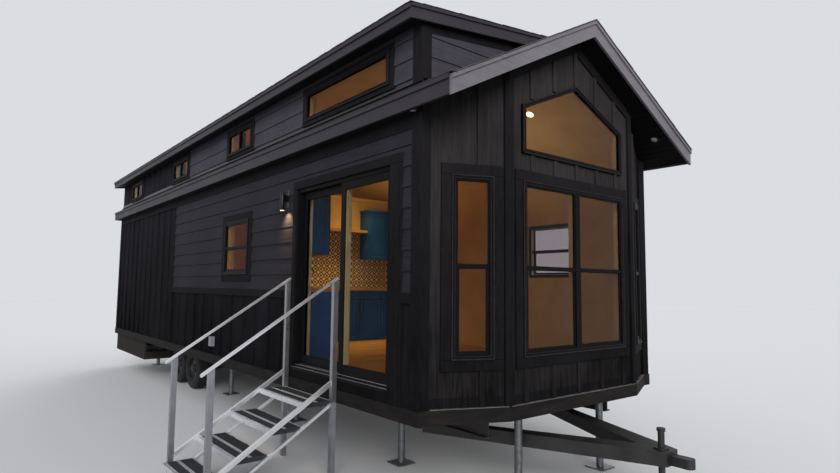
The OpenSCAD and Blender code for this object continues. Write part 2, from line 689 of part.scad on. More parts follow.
module trim_boards() in_frame() color(CHARCOAL) {
    t = trim_out;
    low = soffit_z - frieze_h;
    // rail over the wainscot, on both sides of the door
    rail_low = wainscot_top_z - wainscot_rail_h;
    rail_end_y = door_y - door_casing_front - 5;
    rail_start_y = door_y + door_w + door_casing_rear + 5;
    slab([-half_w - t, corner_w, rail_low], [-half_w, rail_end_y, wainscot_top_z]);
    slab([-half_w - t, rail_start_y, rail_low], [-half_w, lap_end_y, wainscot_top_z]);
    slab([half_w, corner_w, rail_low], [half_w + t, lap_end_y, wainscot_top_z]);
    // friezes under the lower eaves
    slab([-half_w - t + 5, corner_w, low], [-half_w, rear_y - corner_w, soffit_z - 1]);
    slab([half_w, corner_w, low], [half_w + t - 5, rear_y - corner_w, roof_under(half_w + t)]);
    // frieze along the rakes of the gable
    x1 = bay_flat_half - bay_corner_w;
    z1 = roof_under(x1) - 2;
    z2 = roof_under(0) - 2;
    along_y(-bay_out - t + 5, -bay_out, [[-x1, z1], [0, z2], [x1, z1],
        [x1, z1 - rake_frieze_h], [0, z2 - rake_frieze_h], [-x1, z1 - rake_frieze_h]]);
    // frieze under the dormer's front rake
    difference() {
        x2 = -half_w + corner_w;
        z3 = dormer_under(x2) - 2;
        z4 = dormer_under(dormer_meet_x) - 2;
        along_y(-t + 5, 0, [[x2, z3], [dormer_meet_x, z4], [dormer_meet_x, z4 - dormer_frieze_h],
            [x2, z3 - dormer_frieze_h]]);
        along_y(-t - 50, 10, [[-half_w, 0], [tiny, 0], [tiny, roof_top(0) + 3], [0, roof_top(0) + 3],
            [-half_w, roof_top(half_w) + 3]]);
    }
}
module window_casings() in_frame() color(CHARCOAL) {
    translate([0, 0, side_win_z]) {
        on_left(side_win_y) casing(side_win_w, side_win_h, casing_w, casing_w);
        for (y = right_win_y) on_right(y) casing(side_win_w, side_win_h, casing_w, casing_w);
        on_rear(0) casing(side_win_w, side_win_h, casing_w, casing_w);
    }
    translate([0, 0, dormer_win_z]) {
        for (y = dormer_win_y) on_left(y)
            casing(dormer_win_w, dormer_win_h, dormer_casing_w, dormer_casing_h);
        on_left(long_win_y) casing(dormer_long_w, dormer_win_h, dormer_casing_w, dormer_casing_h);
    }
    translate([0, 0, bay_win_z]) {
        on_bay() casing(2 * bay_win_half, bay_win_h, casing_w, casing_w);
        for (s = [-1, 1]) on_angled(s) casing(angled_win_w, bay_win_h, casing_w - 2, casing_w);
    }
}
module door_casing() in_frame() color(CHARCOAL) {
    y1 = door_y + door_w;
    difference() {
        slab([-half_w - trim_out - 3, door_y - door_casing_front, band_top_z],
            [-half_w, y1 + door_casing_rear, door_top_z + door_casing_head]);
        slab([-half_w - 60, door_y, floor_z], [-half_w + 10, y1, door_top_z]);
    }
}

// Windows
module window_frames() in_frame() color([0.1, 0.1, 0.1]) {
    translate([0, 0, side_win_z]) {
        on_left(side_win_y) win_frame(side_win_w, side_win_h, true, 0);
        for (y = right_win_y) on_right(y) win_frame(side_win_w, side_win_h, true, 0);
        on_rear(0) win_frame(side_win_w, side_win_h, true, 0);
    }
}
module window_glass() in_frame() color(GLASS) {
    translate([0, 0, side_win_z]) {
        on_left(side_win_y) win_pane(side_win_w, side_win_h, true, 0);
        for (y = right_win_y) on_right(y) win_pane(side_win_w, side_win_h, true, 0);
        on_rear(0) win_pane(side_win_w, side_win_h, true, 0);
    }
}
module bay_window_frames() in_frame() color([0.1, 0.1, 0.1]) {
    translate([0, 0, bay_win_z]) {
        on_bay() win_frame(2 * bay_win_half, bay_win_h, true, mullion_w);
        for (s = [-1, 1]) on_angled(s) win_frame(angled_win_w, bay_win_h, true, 0);
    }
}
module bay_window_glass() in_frame() color(GLASS) {
    translate([0, 0, bay_win_z]) {
        on_bay() win_pane(2 * bay_win_half, bay_win_h, true, mullion_w);
        for (s = [-1, 1]) on_angled(s) win_pane(angled_win_w, bay_win_h, true, 0);
    }
}
module gable_window_frame() in_frame() color([0.1, 0.1, 0.1]) on_bay() difference() {
    gable_win_solid(0, frame_set, frame_depth);
    gable_win_solid(sash_w, frame_set - 10, frame_depth + 10);
}
module gable_window_glass() in_frame() color(GLASS) on_bay() {
    gable_win_solid(sash_w, pane_y - pane_t / 2, pane_y + pane_t / 2);
}
module dormer_window_frames() in_frame() color([0.1, 0.1, 0.1]) translate([0, 0, dormer_win_z]) {
    for (y = dormer_win_y) on_left(y) win_frame(dormer_win_w, dormer_win_h, false, slider_bar_w);
    on_left(long_win_y) win_frame(dormer_long_w, dormer_win_h, false, 0);
}
module dormer_window_glass() in_frame() color(GLASS) translate([0, 0, dormer_win_z]) {
    for (y = dormer_win_y) on_left(y) win_pane(dormer_win_w, dormer_win_h, false, slider_bar_w);
    on_left(long_win_y) win_pane(dormer_long_w, dormer_win_h, false, 0);
}

// Sliding patio door: local x runs along the wall from the rear jamb, y into the house
module on_door() translate([-half_w, door_y + door_w, floor_z]) rotate([0, 0, -90]) children();
module door_frame() in_frame() color([0.08, 0.08, 0.08]) on_door() {
    difference() {
        slab([0, 0, 0], [door_w, door_depth, door_h]);
        slab([door_jamb, -10, door_sill_h], [door_w - door_jamb, door_depth + 10, door_h - door_jamb]);
    }
    slab([0, -30, 0], [door_w, 0, 30]);
}
module door_panel(w, h, front_stile) difference() {
    slab([0, 0, 0], [w, panel_t, h]);
    slab([panel_stile, -10, panel_rail], [w - front_stile, panel_t + 10, h - panel_stile]);
}
module panel_glass(w, h, front_stile) {
    y = (panel_t - pane_t) / 2;
    slab([panel_stile, y, panel_rail], [w - front_stile, y + pane_t, h - panel_stile]);
}
module at_fixed() on_door() translate([door_w - door_jamb - fixed_w, outer_track, door_sill_h]) children();
module at_slider() on_door()
    translate([door_jamb + slide_gap, inner_track, door_sill_h + slide_gap]) children();
module door_fixed_panel() in_frame() color([0.08, 0.08, 0.08])
    at_fixed() door_panel(fixed_w, panel_h, fixed_stile);
module door_fixed_glass() in_frame() color(GLASS) at_fixed() panel_glass(fixed_w, panel_h, fixed_stile);
module door_sliding_panel() in_frame() color([0.08, 0.08, 0.08]) at_slider() {
    h = panel_h - 2 * slide_gap;
    door_panel(slider_w - slide_gap, h, panel_stile);
    for (x = [120, slider_w - 120]) translate([x, panel_t / 2 - 6, roller_r - slide_gap + 0.3])
        rotate([-90, 0, 0]) cylinder(r = roller_r, h = 12);
    translate([panel_stile / 2 - 9, 0, handle_z]) {
        slab([0, -8, 0], [18, 1, 240]);
        slab([2, -34, 30], [16, -22, 210]);
        for (z = [36, 190]) slab([2, -30, z], [16, 0, z + 14]);
    }
}
module door_sliding_glass() in_frame() color(GLASS)
    at_slider() panel_glass(slider_w - slide_gap, panel_h - 2 * slide_gap, panel_stile);

// Lights and the power inlet
wall_light_y = door_y + door_w + 220;
wall_light_z = door_top_z - 226;
light_r = 27;
light_h = 203;
light_off = 95;
plate_half = 25;
plate_t = 20;
plate_low = 44;
arm_low = 104;
arm_h = 78;
soffit_light_off = 68;
inlet_y = 4790;
inlet_z = 990;
module outside_lights() in_frame() color([0.05, 0.05, 0.05]) {
    translate([-half_w - light_off, wall_light_y, wall_light_z]) cylinder(r = light_r, h = light_h);
    slab([-half_w - light_off, wall_light_y - 13, wall_light_z + arm_low],
        [-half_w, wall_light_y + 13, wall_light_z + arm_low + arm_h]);
    slab([-half_w - plate_t, wall_light_y - plate_half, wall_light_z + plate_low],
        [-half_w, wall_light_y + plate_half, wall_light_z + plate_low + light_h]);
    translate([-half_w - soffit_light_off, 30, soffit_z - 12]) cylinder(r = 40, h = 12);
    light_x = bay_half - 228;
    translate([light_x, roof_front_y + 195, roof_under(light_x)]) rotate([180, atan(pitch), 0])
        cylinder(r = 55, h = 10);
}
module power_inlet() in_frame() color([0.5, 0.5, 0.52]) {
    slab([-half_w - 55, inlet_y, inlet_z], [-half_w, inlet_y + 100, inlet_z + 140]);
}

// Built-in kitchen, along the rear wall of the living room and the door side
kitchen_wall_t = 100;
kitchen_wall_top = 3450;
cap_h = 60;
cap_out = 25;
toe_h = 100;
toe_set = 70;
worktop_t = 38;
worktop_out = 25;
front_gap = 3;
front_deep = 6;
front_rail = 62;
drawer_h = 150;
pass_x = -inner_half + passage_w;
base_front_y = kitchen_y - base_d;
base_top_z = floor_z + base_h;
upper_x = 930;
upper_d = 330;
upper_z = 2385;
upper_top_z = 3270;
side_run_gap = 455;
side_run_y = door_y + door_w + side_run_gap;
side_run_l = 880;
side_upper_z = 2290;
side_upper_top_z = 3060;
side_run_d = 658;
side_upper_d = 578;
shelf_z = 2850;
shelf_t = 45;
shelf_d = 250;
shelf_gap = 258;
// The groove around a cabinet front and the sunk panel in its middle, facing -Y
module front_cut(x0, x1, y, z0, z1, panel) {
    difference() {
        slab([x0, y - 1, z0], [x1, y + front_deep, z1]);
        slab([x0 + front_gap, y - 2, z0 + front_gap], [x1 - front_gap, y + front_deep + 1, z1 - front_gap]);
    }
    if (panel) slab([x0 + front_rail, y - 1, z0 + front_rail],
        [x1 - front_rail, y + front_deep, z1 - front_rail]);
}
module kitchen_wall() in_frame() color(CREAM) {
    back = kitchen_y + kitchen_wall_t;
    slab([pass_x, kitchen_y, floor_z], [inner_half, back, kitchen_wall_top]);
    slab([pass_x - 20, kitchen_y - cap_out, kitchen_wall_top],
        [inner_half, back + cap_out, kitchen_wall_top + cap_h]);
}
module base_run() difference() {
    union() {
        slab([pass_x + 8, base_front_y + toe_set, floor_z], [inner_half, kitchen_y, floor_z + toe_h]);
        slab([pass_x + 8, base_front_y, floor_z + toe_h], [inner_half, kitchen_y, base_top_z]);
    }
    low = floor_z + toe_h + 10;
    high = base_top_z - drawer_h;
    for (i = [0 : 2]) {
        x0 = pass_x + 152 + i * cabinet_w;
        x1 = min(x0 + cabinet_w, inner_half - 10);
        mid = (x0 + x1) / 2;
        front_cut(x0, x1, base_front_y, high, base_top_z - 8, false);
        front_cut(x0, mid + front_gap / 2, base_front_y, low, high, true);
        front_cut(mid - front_gap / 2, x1, base_front_y, low, high, true);
    }
}
module upper_run() difference() {
    y = kitchen_y - upper_d;
    slab([upper_x, y, upper_z], [inner_half, kitchen_y, upper_top_z]);
    mid = (upper_x + inner_half) / 2 + 42;
    front_cut(upper_x + 4, mid, y, upper_z + 8, upper_top_z - 60, true);
    front_cut(mid - front_gap, inner_half - 8, y, upper_z + 8, upper_top_z - 60, true);
}
module kitchen_cabinets() in_frame() color(BLUE) {
    side_end_y = side_run_y + side_run_l;
    base_run();
    upper_run();
    slab([-inner_half, side_run_y, floor_z], [-inner_half + side_run_d, side_end_y, base_top_z]);
    difference() {
        slab([-inner_half, side_run_y, side_upper_z],
            [-inner_half + side_upper_d, side_end_y, side_upper_top_z]);
        front_cut(-inner_half + 8, -inner_half + side_upper_d - 8, side_run_y, side_upper_z + 8,
            side_upper_top_z - 8, true);
    }
}
module kitchen_worktop() in_frame() color(OAK) {
    top = base_top_z + worktop_t;
    slab([pass_x, base_front_y - worktop_out, base_top_z], [inner_half, kitchen_y, top]);
    slab([-inner_half, side_run_y - 15, base_top_z],
        [-inner_half + side_run_d + worktop_out, side_run_y + side_run_l + 15, top]);
}
module kitchen_shelf() in_frame() color(OAK) {
    slab([pass_x + shelf_gap, kitchen_y - shelf_d, shelf_z], [upper_x - 1, kitchen_y, shelf_z + shelf_t]);
}

// Entry stair
function hand_z(x) = hand_foot_z + (x - hand_end_x) * hand_slope;
function bar_z(x) = tread_top_z + (x - tread_x) * stair_slope;
module sloped_bar(y, x0, x1, z0, z1, wide, thick) {
    along_y(y - wide / 2, y + wide / 2, [[x0, z0], [x1, z1], [x1, z1 + thick], [x0, z0 + thick]]);
}
post_off = stair_w / 2 - post / 2;
module stair_posts() in_frame() color(SILVER) {
    for (s = [-1, 1]) for (x = [foot_post_x, top_post_x]) {
        y = stair_mid_y + s * post_off;
        x0 = x - post / 2;
        x1 = x + post / 2;
        along_y(y - post / 2, y + post / 2, [[x0, 0], [x1, 0], [x1, hand_z(x1)], [x0, hand_z(x0)]]);
    }
}
module stair_stringers() in_frame() color(SILVER) {
    x0 = foot_post_x + post / 2;
    x1 = top_post_x - post / 2;
    x2 = x0 + 40;
    for (s = [-1, 1]) {
        y = stair_mid_y + s * (post_off - post / 2 + bar / 2);
        sloped_bar(y, x0, x1, bar_z(x0) - 30, bar_z(x1) - 30, bar, 46);
        sloped_bar(stair_mid_y + s * (post_off - post / 2 + low_bar / 2), x2, x1,
            bar_z(x2) - 235, bar_z(x1) - 235, low_bar, 34);
    }
}
module stair_handrails() in_frame() color(SILVER) {
    x1 = top_post_x + post / 2;
    for (s = [-1, 1])
        sloped_bar(stair_mid_y + s * post_off, hand_end_x, x1,
            hand_z(hand_end_x), hand_z(x1), hand_w, hand_t);
}
module stair_treads() in_frame() color([0.3, 0.3, 0.31]) {
    half = post_off - post / 2;
    for (i = [0 : tread_count - 1]) {
        x = tread_x - i * stair_run;
        z = tread_top_z - i * stair_rise;
        slab([x, stair_mid_y - half, z - tread_t], [x + tread_d, stair_mid_y + half, z]);
    }
}

chassis_rails();
cross_members();
tongue();
tongue_jack();
axles();
wheel_left_front();
wheel_left_rear();
wheel_right_front();
wheel_right_rear();
support_stands();
underfloor_box();
floor_deck();
left_wall_front();
left_wall_over_door();
left_wall_rear();
right_wall();
rear_wall();
bay_left_wall();
bay_front_wall();
bay_right_wall();
dormer_front_wall();
main_roof();
bay_roof();
dormer_roof();
eave_roof();
eave_fascias();
dormer_fascias();
barge_boards();
corner_boards();
trim_boards();
belly_band();
window_casings();
door_casing();
window_frames();
bay_window_frames();
gable_window_frame();
dormer_window_frames();
window_glass();
bay_window_glass();
gable_window_glass();
dormer_window_glass();
door_frame();
door_fixed_panel();
door_fixed_glass();
door_sliding_panel();
door_sliding_glass();
outside_lights();
power_inlet();
kitchen_wall();
kitchen_cabinets();
kitchen_worktop();
kitchen_shelf();
stair_posts();
stair_stringers();
stair_handrails();
stair_treads();
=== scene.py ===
"""Finishes and finer pieces of the tiny house on wheels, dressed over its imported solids.

All lengths are metres. Walls are worked on in their own frames, as a carpenter would mark them out:
x runs along the wall to the right as seen from outside, y goes into the wall and z is the height.
"""

import math
import random

import bpy
from mathutils import Matrix, Vector


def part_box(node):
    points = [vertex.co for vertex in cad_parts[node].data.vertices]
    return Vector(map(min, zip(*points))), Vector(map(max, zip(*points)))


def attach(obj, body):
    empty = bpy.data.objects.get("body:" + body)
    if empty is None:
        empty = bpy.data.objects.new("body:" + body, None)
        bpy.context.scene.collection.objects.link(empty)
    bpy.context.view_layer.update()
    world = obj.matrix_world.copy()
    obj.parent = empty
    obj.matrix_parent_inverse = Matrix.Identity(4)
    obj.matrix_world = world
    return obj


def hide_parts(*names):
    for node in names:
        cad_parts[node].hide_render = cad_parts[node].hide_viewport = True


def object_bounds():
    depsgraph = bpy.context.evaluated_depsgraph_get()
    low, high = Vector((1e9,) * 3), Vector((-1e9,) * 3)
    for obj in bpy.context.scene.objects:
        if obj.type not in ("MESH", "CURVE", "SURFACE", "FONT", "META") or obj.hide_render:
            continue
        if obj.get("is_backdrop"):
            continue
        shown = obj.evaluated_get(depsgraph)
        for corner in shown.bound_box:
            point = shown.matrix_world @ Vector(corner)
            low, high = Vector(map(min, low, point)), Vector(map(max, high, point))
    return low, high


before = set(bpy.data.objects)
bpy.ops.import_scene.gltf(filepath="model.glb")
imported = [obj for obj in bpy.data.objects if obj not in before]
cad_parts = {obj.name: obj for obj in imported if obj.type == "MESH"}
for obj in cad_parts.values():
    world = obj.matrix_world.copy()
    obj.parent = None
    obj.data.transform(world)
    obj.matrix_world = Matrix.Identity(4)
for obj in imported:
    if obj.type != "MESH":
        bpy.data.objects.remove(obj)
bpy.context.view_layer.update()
random.seed(11)

# ---- Sizes of the house -----------------------------------------------------------------------

band_low, band_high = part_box("belly_band")
front_low, front_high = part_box("left_wall_front")
HOME = Vector(((band_low.x + band_high.x) / 2, front_low.y, 0))  # middle of the front wall line, on the ground
HALF_W = HOME.x - front_low.x
WALL_T = front_high.x - front_low.x
REAR_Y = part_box("rear_wall")[1].y - HOME.y
FLOOR_Z = front_low.z
INNER_HALF = HALF_W - WALL_T
BAY_OUT = HOME.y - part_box("bay_front_wall")[0].y
BAY_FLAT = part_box("bay_front_wall")[1].x - HOME.x
BAY_HALF = HOME.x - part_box("bay_left_wall")[0].x
BAY_ANGLE = math.atan2(BAY_OUT, BAY_HALF - BAY_FLAT)
BAND_TOP = band_high.z

PITCH = 0.53
DORMER_PITCH = 0.118
RIDGE_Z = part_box("main_roof")[1].z
ROOF_THICK = 0.150
DORMER_THICK = 0.120
SHINGLE_ROOM = 0.012
BARGE, STRIP = 0.025, 0.015  # thickness of a barge or fascia board and of the strip along its top
EAVE_HALF = HOME.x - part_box("eave_roof")[0].x
EAVE_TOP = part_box("eave_fascias")[1].z
DORMER_EDGE = HOME.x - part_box("dormer_roof")[0].x
ROOF_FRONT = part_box("main_roof")[0].y - HOME.y  # face of the strips on the front barge boards
ROOF_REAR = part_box("main_roof")[1].y - HOME.y
DORMER_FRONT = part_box("dormer_fascias")[0].y - HOME.y
DORMER_RIDGE_Z = RIDGE_Z - 0.050
DORMER_MEET = (RIDGE_Z - DORMER_RIDGE_Z) / (PITCH - DORMER_PITCH)
SOFFIT_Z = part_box("eave_roof")[0].z

LAP = 0.1855  # height of a lap board that shows
WAINSCOT_TOP = 1.840
WAINSCOT_RAIL = 0.088
LAP_END = 6.993  # where the lap boards stop and the rear battens begin
BATTEN = 0.050
BATTEN_OUT = 0.018
FRIEZE_LOW = SOFFIT_Z - 0.140
CORNER = 0.092
CASING = 0.095
CASING_OUT = 0.025
DOOR_FRONT, DOOR_REAR, DOOR_TOP = 0.410, 2.245, 3.002
DOOR_CASING_FRONT, DOOR_CASING_REAR, DOOR_CASING_HEAD, DOOR_CASING_OUT = 0.180, 0.070, 0.088, 0.028
FRAME_BAR = 0.045
FRAME_END = 0.060  # how far a window frame reaches into the wall


def roof_top(x):
    """Height of the main roof's top at a distance from the ridge."""
    return RIDGE_Z - PITCH * abs(x)


def dormer_top(x):
    """Height of the dormer roof's top. It falls to the left, where x is negative."""
    return DORMER_RIDGE_Z + DORMER_PITCH * x


def wall_frame(x, y, along_x, along_y):
    """A wall's own frame: its origin on the outer face and the direction of its x seen from above."""
    return Matrix((
        (along_x, -along_y, 0, HOME.x + x),
        (along_y, along_x, 0, HOME.y + y),
        (0, 0, 1, 0),
        (0, 0, 0, 1),
    ))


HOUSE = wall_frame(0, 0, 1, 0)
LEFT = wall_frame(-HALF_W, 0, 0, -1)
RIGHT = wall_frame(HALF_W, 0, 0, 1)
REAR = wall_frame(0, REAR_Y, -1, 0)
BAY = wall_frame(0, -BAY_OUT, 1, 0)
BAY_MID = (BAY_HALF + BAY_FLAT) / 2
BAY_LEFT = wall_frame(-BAY_MID, -BAY_OUT / 2, math.cos(BAY_ANGLE), -math.sin(BAY_ANGLE))
BAY_RIGHT = wall_frame(BAY_MID, -BAY_OUT / 2, math.cos(BAY_ANGLE), math.sin(BAY_ANGLE))

# ---- Camera, floor and lights -----------------------------------------------------------------

EYE = (-4.2229, -8.7192, 1.900)
LOOK_TURN, LOOK_TILT, LOOK_ROLL = -39.08, 95.0, 0.59  # degrees


def put_in(name, data):
    """A new lamp or camera in the scene."""
    made = bpy.data.objects.new(name, data)
    bpy.context.scene.collection.objects.link(made)
    return made


camera = put_in("camera", bpy.data.cameras.new("camera"))
camera.data.sensor_width = 36
camera.data.lens = 24.46
camera.data.clip_end = 200
camera.matrix_world = (
    Matrix.Translation(EYE)
    @ Matrix.Rotation(math.radians(LOOK_TURN), 4, "Z")
    @ Matrix.Rotation(math.radians(LOOK_TILT), 4, "X")
    @ Matrix.Rotation(math.radians(LOOK_ROLL), 4, "Z")
)
bpy.context.scene.camera = camera
bpy.context.scene.view_settings.view_transform = "Standard"


def area_lamp(name, place, aim, size, power, colour):
    """A soft rectangular lamp at a place, facing a point."""
    lamp = put_in(name, bpy.data.lights.new(name, "AREA"))
    lamp.data.shape = "RECTANGLE"
    lamp.data.size, lamp.data.size_y = size
    lamp.data.energy = power
    lamp.data.color = colour
    lamp.location = place
    lamp.rotation_euler = (Vector(aim) - Vector(place)).to_track_quat("-Z", "Y").to_euler()
    lamp.visible_camera = lamp.visible_glossy = lamp.visible_transmission = False
    return lamp


# ---- Materials --------------------------------------------------------------------------------


def srgb(code):
    """Turns an sRGB hex colour into the linear values that a shader takes."""
    parts = [int(code[i:i + 2], 16) / 255 for i in (0, 2, 4)]
    return [c / 12.92 if c <= 0.04045 else ((c + 0.055) / 1.055) ** 2.4 for c in parts] + [1]


def plug(tree, made, inputs):
    """Sets a node's inputs. One given as another node is linked to that node's first output, and one given
    as an output is linked to it."""
    for key, value in inputs.items():
        if isinstance(value, bpy.types.Node):
            value = value.outputs[0]
        if isinstance(value, bpy.types.NodeSocket):
            tree.links.new(value, made.inputs[key])
        else:
            made.inputs[key].default_value = value


def node(tree, kind, inputs=None, stops=(), **settings):
    """Adds a node with its settings and links. stops are a colour ramp's: each a position and an sRGB hex colour."""
    made = tree.nodes.new(kind)
    for key, value in settings.items():
        setattr(made, key, value)
    plug(tree, made, inputs or {})
    if stops:
        elements = made.color_ramp.elements
        while len(elements) < len(stops):
            elements.new(0.5)
        for element, (position, code) in zip(elements, stops):
            element.position = position
            element.color = srgb(code)
    return made


def material(name, roughness, metallic=0.0, ior=1.5, colour="808080"):
    """A new material with its shader's own plain numbers set, its node tree and its shader."""
    made = bpy.data.materials.new(name)
    made.use_nodes = True
    shader = made.node_tree.nodes["Principled BSDF"]
    shader.inputs["Base Color"].default_value = srgb(colour)
    shader.inputs["Roughness"].default_value = roughness
    shader.inputs["Metallic"].default_value = metallic
    shader.inputs["IOR"].default_value = ior
    return made, made.node_tree, shader


# Heights between which painted light takes the paint from darker near the ground to paler by the roof, how much that
# counts in its shade, and how much the grain counts beside the chalk clouds
HEIGHT_LIGHT_LOW, HEIGHT_LIGHT_HIGH, HEIGHT_LIGHT_SHARE, GRAIN_SHARE = 0.9, 4.0, 0.12, 0.38
CHALK_CLOUDS = (0.9, 0.9, 0.6)  # clouds of chalked paint per metre


def painted_siding(name, scale, dark, pale, grain_depth=0.0016, roughness=0.66, ior=1.12):
    """Pressed wood-fibre siding in flat charcoal paint, chalked in clouds: the pressed cedar grain shows in
    long streaks, drawn into the colour as a painted sheen as well as into the bump, and painted light
    makes the colour paler towards the roof and darker near the ground. scale stretches the grain along the board."""
    made, tree, shader = material(name, roughness, ior=ior)
    place = node(tree, "ShaderNodeTexCoord").outputs["Object"]
    along = node(tree, "ShaderNodeMapping", {"Vector": place, "Scale": scale})
    # The grain's long streaks go into the colour as a painted sheen, and into the bump as the real pressed grain.
    grain = node(tree, "ShaderNodeTexNoise", {
        "Vector": along, "Scale": 1.0, "Detail": 7.0, "Roughness": 0.62, "Distortion": 0.5})
    clouds = node(tree, "ShaderNodeMapping", {"Vector": place, "Scale": CHALK_CLOUDS})
    chalk = node(tree, "ShaderNodeTexNoise", {"Vector": clouds, "Scale": 1.0, "Detail": 4.0, "Roughness": 0.6})
    coat = node(tree, "ShaderNodeMix", {0: GRAIN_SHARE, 2: chalk, 3: grain})
    # Painted light and shade: the colour is shifted darker low on the wall and paler towards the roof.
    height = node(tree, "ShaderNodeSeparateXYZ", {0: place})
    height_light = node(tree, "ShaderNodeMapRange", {
        "Value": height.outputs["Z"], "From Min": HEIGHT_LIGHT_LOW, "From Max": HEIGHT_LIGHT_HIGH,
        "To Min": -HEIGHT_LIGHT_SHARE, "To Max": HEIGHT_LIGHT_SHARE})
    shade = node(tree, "ShaderNodeMath", {0: coat, 1: height_light}, operation="ADD")
    gloss = node(tree, "ShaderNodeMapRange", {
        "Value": coat, "From Min": 0.38, "From Max": 0.62,
        "To Min": roughness - 0.1, "To Max": roughness + 0.1})
    plug(tree, shader, {
        "Base Color": node(tree, "ShaderNodeValToRGB", {"Fac": shade}, ((0.30, dark), (0.70, pale))),
        "Roughness": gloss,
        "Normal": node(tree, "ShaderNodeBump", {"Height": grain, "Strength": 0.8, "Distance": grain_depth})})
    return made


UPRIGHT = (46, 46, 2.4)  # grain about 20 mm apart, running up the board
LEVEL = (2.2, 2.2, 52)
# Two charcoals: the long walls are a cool black, and the bay is a browner grey whose wider range, darker and paler, is
# painted shade low on the bay and painted light higher up under its overhang.
SIDE_COAT = ("111012", "302e33")
BAY_COAT_WITH_PAINTED_LIGHT = ("0e0d0e", "434041")
siding_upright = painted_siding("painted_siding_upright", UPRIGHT, *SIDE_COAT, roughness=0.8, ior=1.06)
bay_siding_with_painted_light = painted_siding("bay_siding_painted_light", UPRIGHT, *BAY_COAT_WITH_PAINTED_LIGHT, roughness=0.75, ior=1.08)
siding_level = painted_siding("painted_siding_level", LEVEL, "17161a", "3f3d44")
# The boards up on the dormer are coloured paler as painted light, lifting them in the shade of the dormer's overhang.
siding_level_with_painted_light = painted_siding("level_siding_painted_light", LEVEL, "2a292e", "57545f")
# Smooth-planed trim: a finer, shallower grain under the same black. The soffit boards stay the darkest.
trim_paint = painted_siding("painted_trim_boards", (24, 24, 5), "121112", "2b292c", 0.0009, 0.66, 1.08)
soffit_paint = painted_siding("painted_soffit_boards", (40, 3, 40), "0d0d0f", "1b1b1d", 0.0006)
# The boards along the roof edges carry a paler, slightly satin coat; the rakes are paler again, as painted light where
# the open sky lights them.
fascia_paint = painted_siding("painted_fascia_boards", (3, 3, 40), "2c2a2f", "454248", 0.0006, 0.5, 1.22)
rake_paint_with_painted_light = painted_siding("rake_boards_painted_light", (3, 3, 40), "625f64", "8a868b", 0.0006, 0.5, 1.3)


def inner_mask(tree, place, point, inward, depth):
    """1 where a spot lies deeper than depth behind the plane through point, and 0 before it."""
    deep = node(tree, "ShaderNodeVectorMath", {0: place, 1: inward}, operation="DOT_PRODUCT")
    reach = Vector(point).dot(Vector(inward)) + depth
    return node(tree, "ShaderNodeMath", {0: deep.outputs["Value"], 1: reach}, operation="GREATER_THAN")


def lining_colour(tree, place, dark, pale):
    """Smooth wall paint with the faint clouds that a roller leaves."""
    stipple = node(tree, "ShaderNodeTexNoise", {"Vector": place, "Scale": 3.0, "Detail": 3.0})
    return node(tree, "ShaderNodeValToRGB", {"Fac": stipple}, ((0.3, dark), (0.7, pale)))


def two_sided_wall(name, point, inward, coat):
    """A framed wall: siding outside, and smooth warm cream paint on the lining and the reveals inside.
    point lies on the outer face, and inward is the direction into the room."""
    made = painted_siding(name, UPRIGHT, *coat, roughness=0.78, ior=1.06)
    tree = made.node_tree
    shader = tree.nodes["Principled BSDF"]
    place = node(tree, "ShaderNodeTexCoord").outputs["Object"]
    inside = inner_mask(tree, place, point, inward, FRAME_END + 0.001)
    if abs(inward[1]) < 0.01:  # a long wall: its sawn ends, front and rear, are painted as its outer face
        for end_y, way in ((HOME.y, (0, 1, 0)), (HOME.y + REAR_Y, (0, -1, 0))):
            end = inner_mask(tree, place, (0, end_y, 0), way, 0.001)
            inside = node(tree, "ShaderNodeMath", {0: inside, 1: end}, operation="MULTIPLY")
    cream = lining_colour(tree, place, "c9a35e", "d6b26e")
    outside = shader.inputs["Base Color"].links[0].from_socket
    mixed = node(tree, "ShaderNodeMix", {0: inside, 6: outside, 7: cream}, data_type="RGBA")
    plug(tree, shader, {"Base Color": mixed.outputs[2]})
    return made


wall_left, wall_right, wall_rear, wall_front, wall_cheek, wall_bay_left, wall_bay_right = (
    two_sided_wall(name + "_siding_and_lining", spot.translation, spot.col[1].to_3d(), coat)
    for name, spot, coat in (
        ("left_wall", LEFT, SIDE_COAT), ("right_wall", RIGHT, SIDE_COAT), ("rear_wall", REAR, SIDE_COAT),
        ("bay_front", BAY, BAY_COAT_WITH_PAINTED_LIGHT), ("dormer_cheek", HOUSE, BAY_COAT_WITH_PAINTED_LIGHT),
        ("bay_left", BAY_LEFT, BAY_COAT_WITH_PAINTED_LIGHT), ("bay_right", BAY_RIGHT, BAY_COAT_WITH_PAINTED_LIGHT)))


def roof_slab_material(name, front_y):
    """A roof slab: dark paint where it shows outside, and cream ceiling boards over the rooms, from front_y back."""
    made, tree, shader = material(name, 0.7, ior=1.18)
    place = node(tree, "ShaderNodeTexCoord").outputs["Object"]
    inside = inner_mask(tree, place, (0, HOME.y + front_y, 0), (0, 1, 0), 0.05)
    for point, inward in (((HOME.x - HALF_W, 0, 0), (1, 0, 0)), ((HOME.x + HALF_W, 0, 0), (-1, 0, 0)),
                          ((0, HOME.y + REAR_Y, 0), (0, -1, 0))):
        edge = inner_mask(tree, place, point, inward, 0.05)
        inside = node(tree, "ShaderNodeMath", {0: inside, 1: edge}, operation="MULTIPLY")
    cream = lining_colour(tree, place, "ccaa6c", "d9ba7e")
    mixed = node(tree, "ShaderNodeMix", {0: inside, 6: srgb("171719"), 7: cream}, data_type="RGBA")
    plug(tree, shader, {"Base Color": mixed.outputs[2]})
    return made


roof_slab = roof_slab_material("roof_deck_and_ceiling", -BAY_OUT)
dormer_slab = roof_slab_material("dormer_deck_and_ceiling", 0.0)

TAB_SHARE = 0.45  # how much a tab's own shade counts beside the granules and streaks


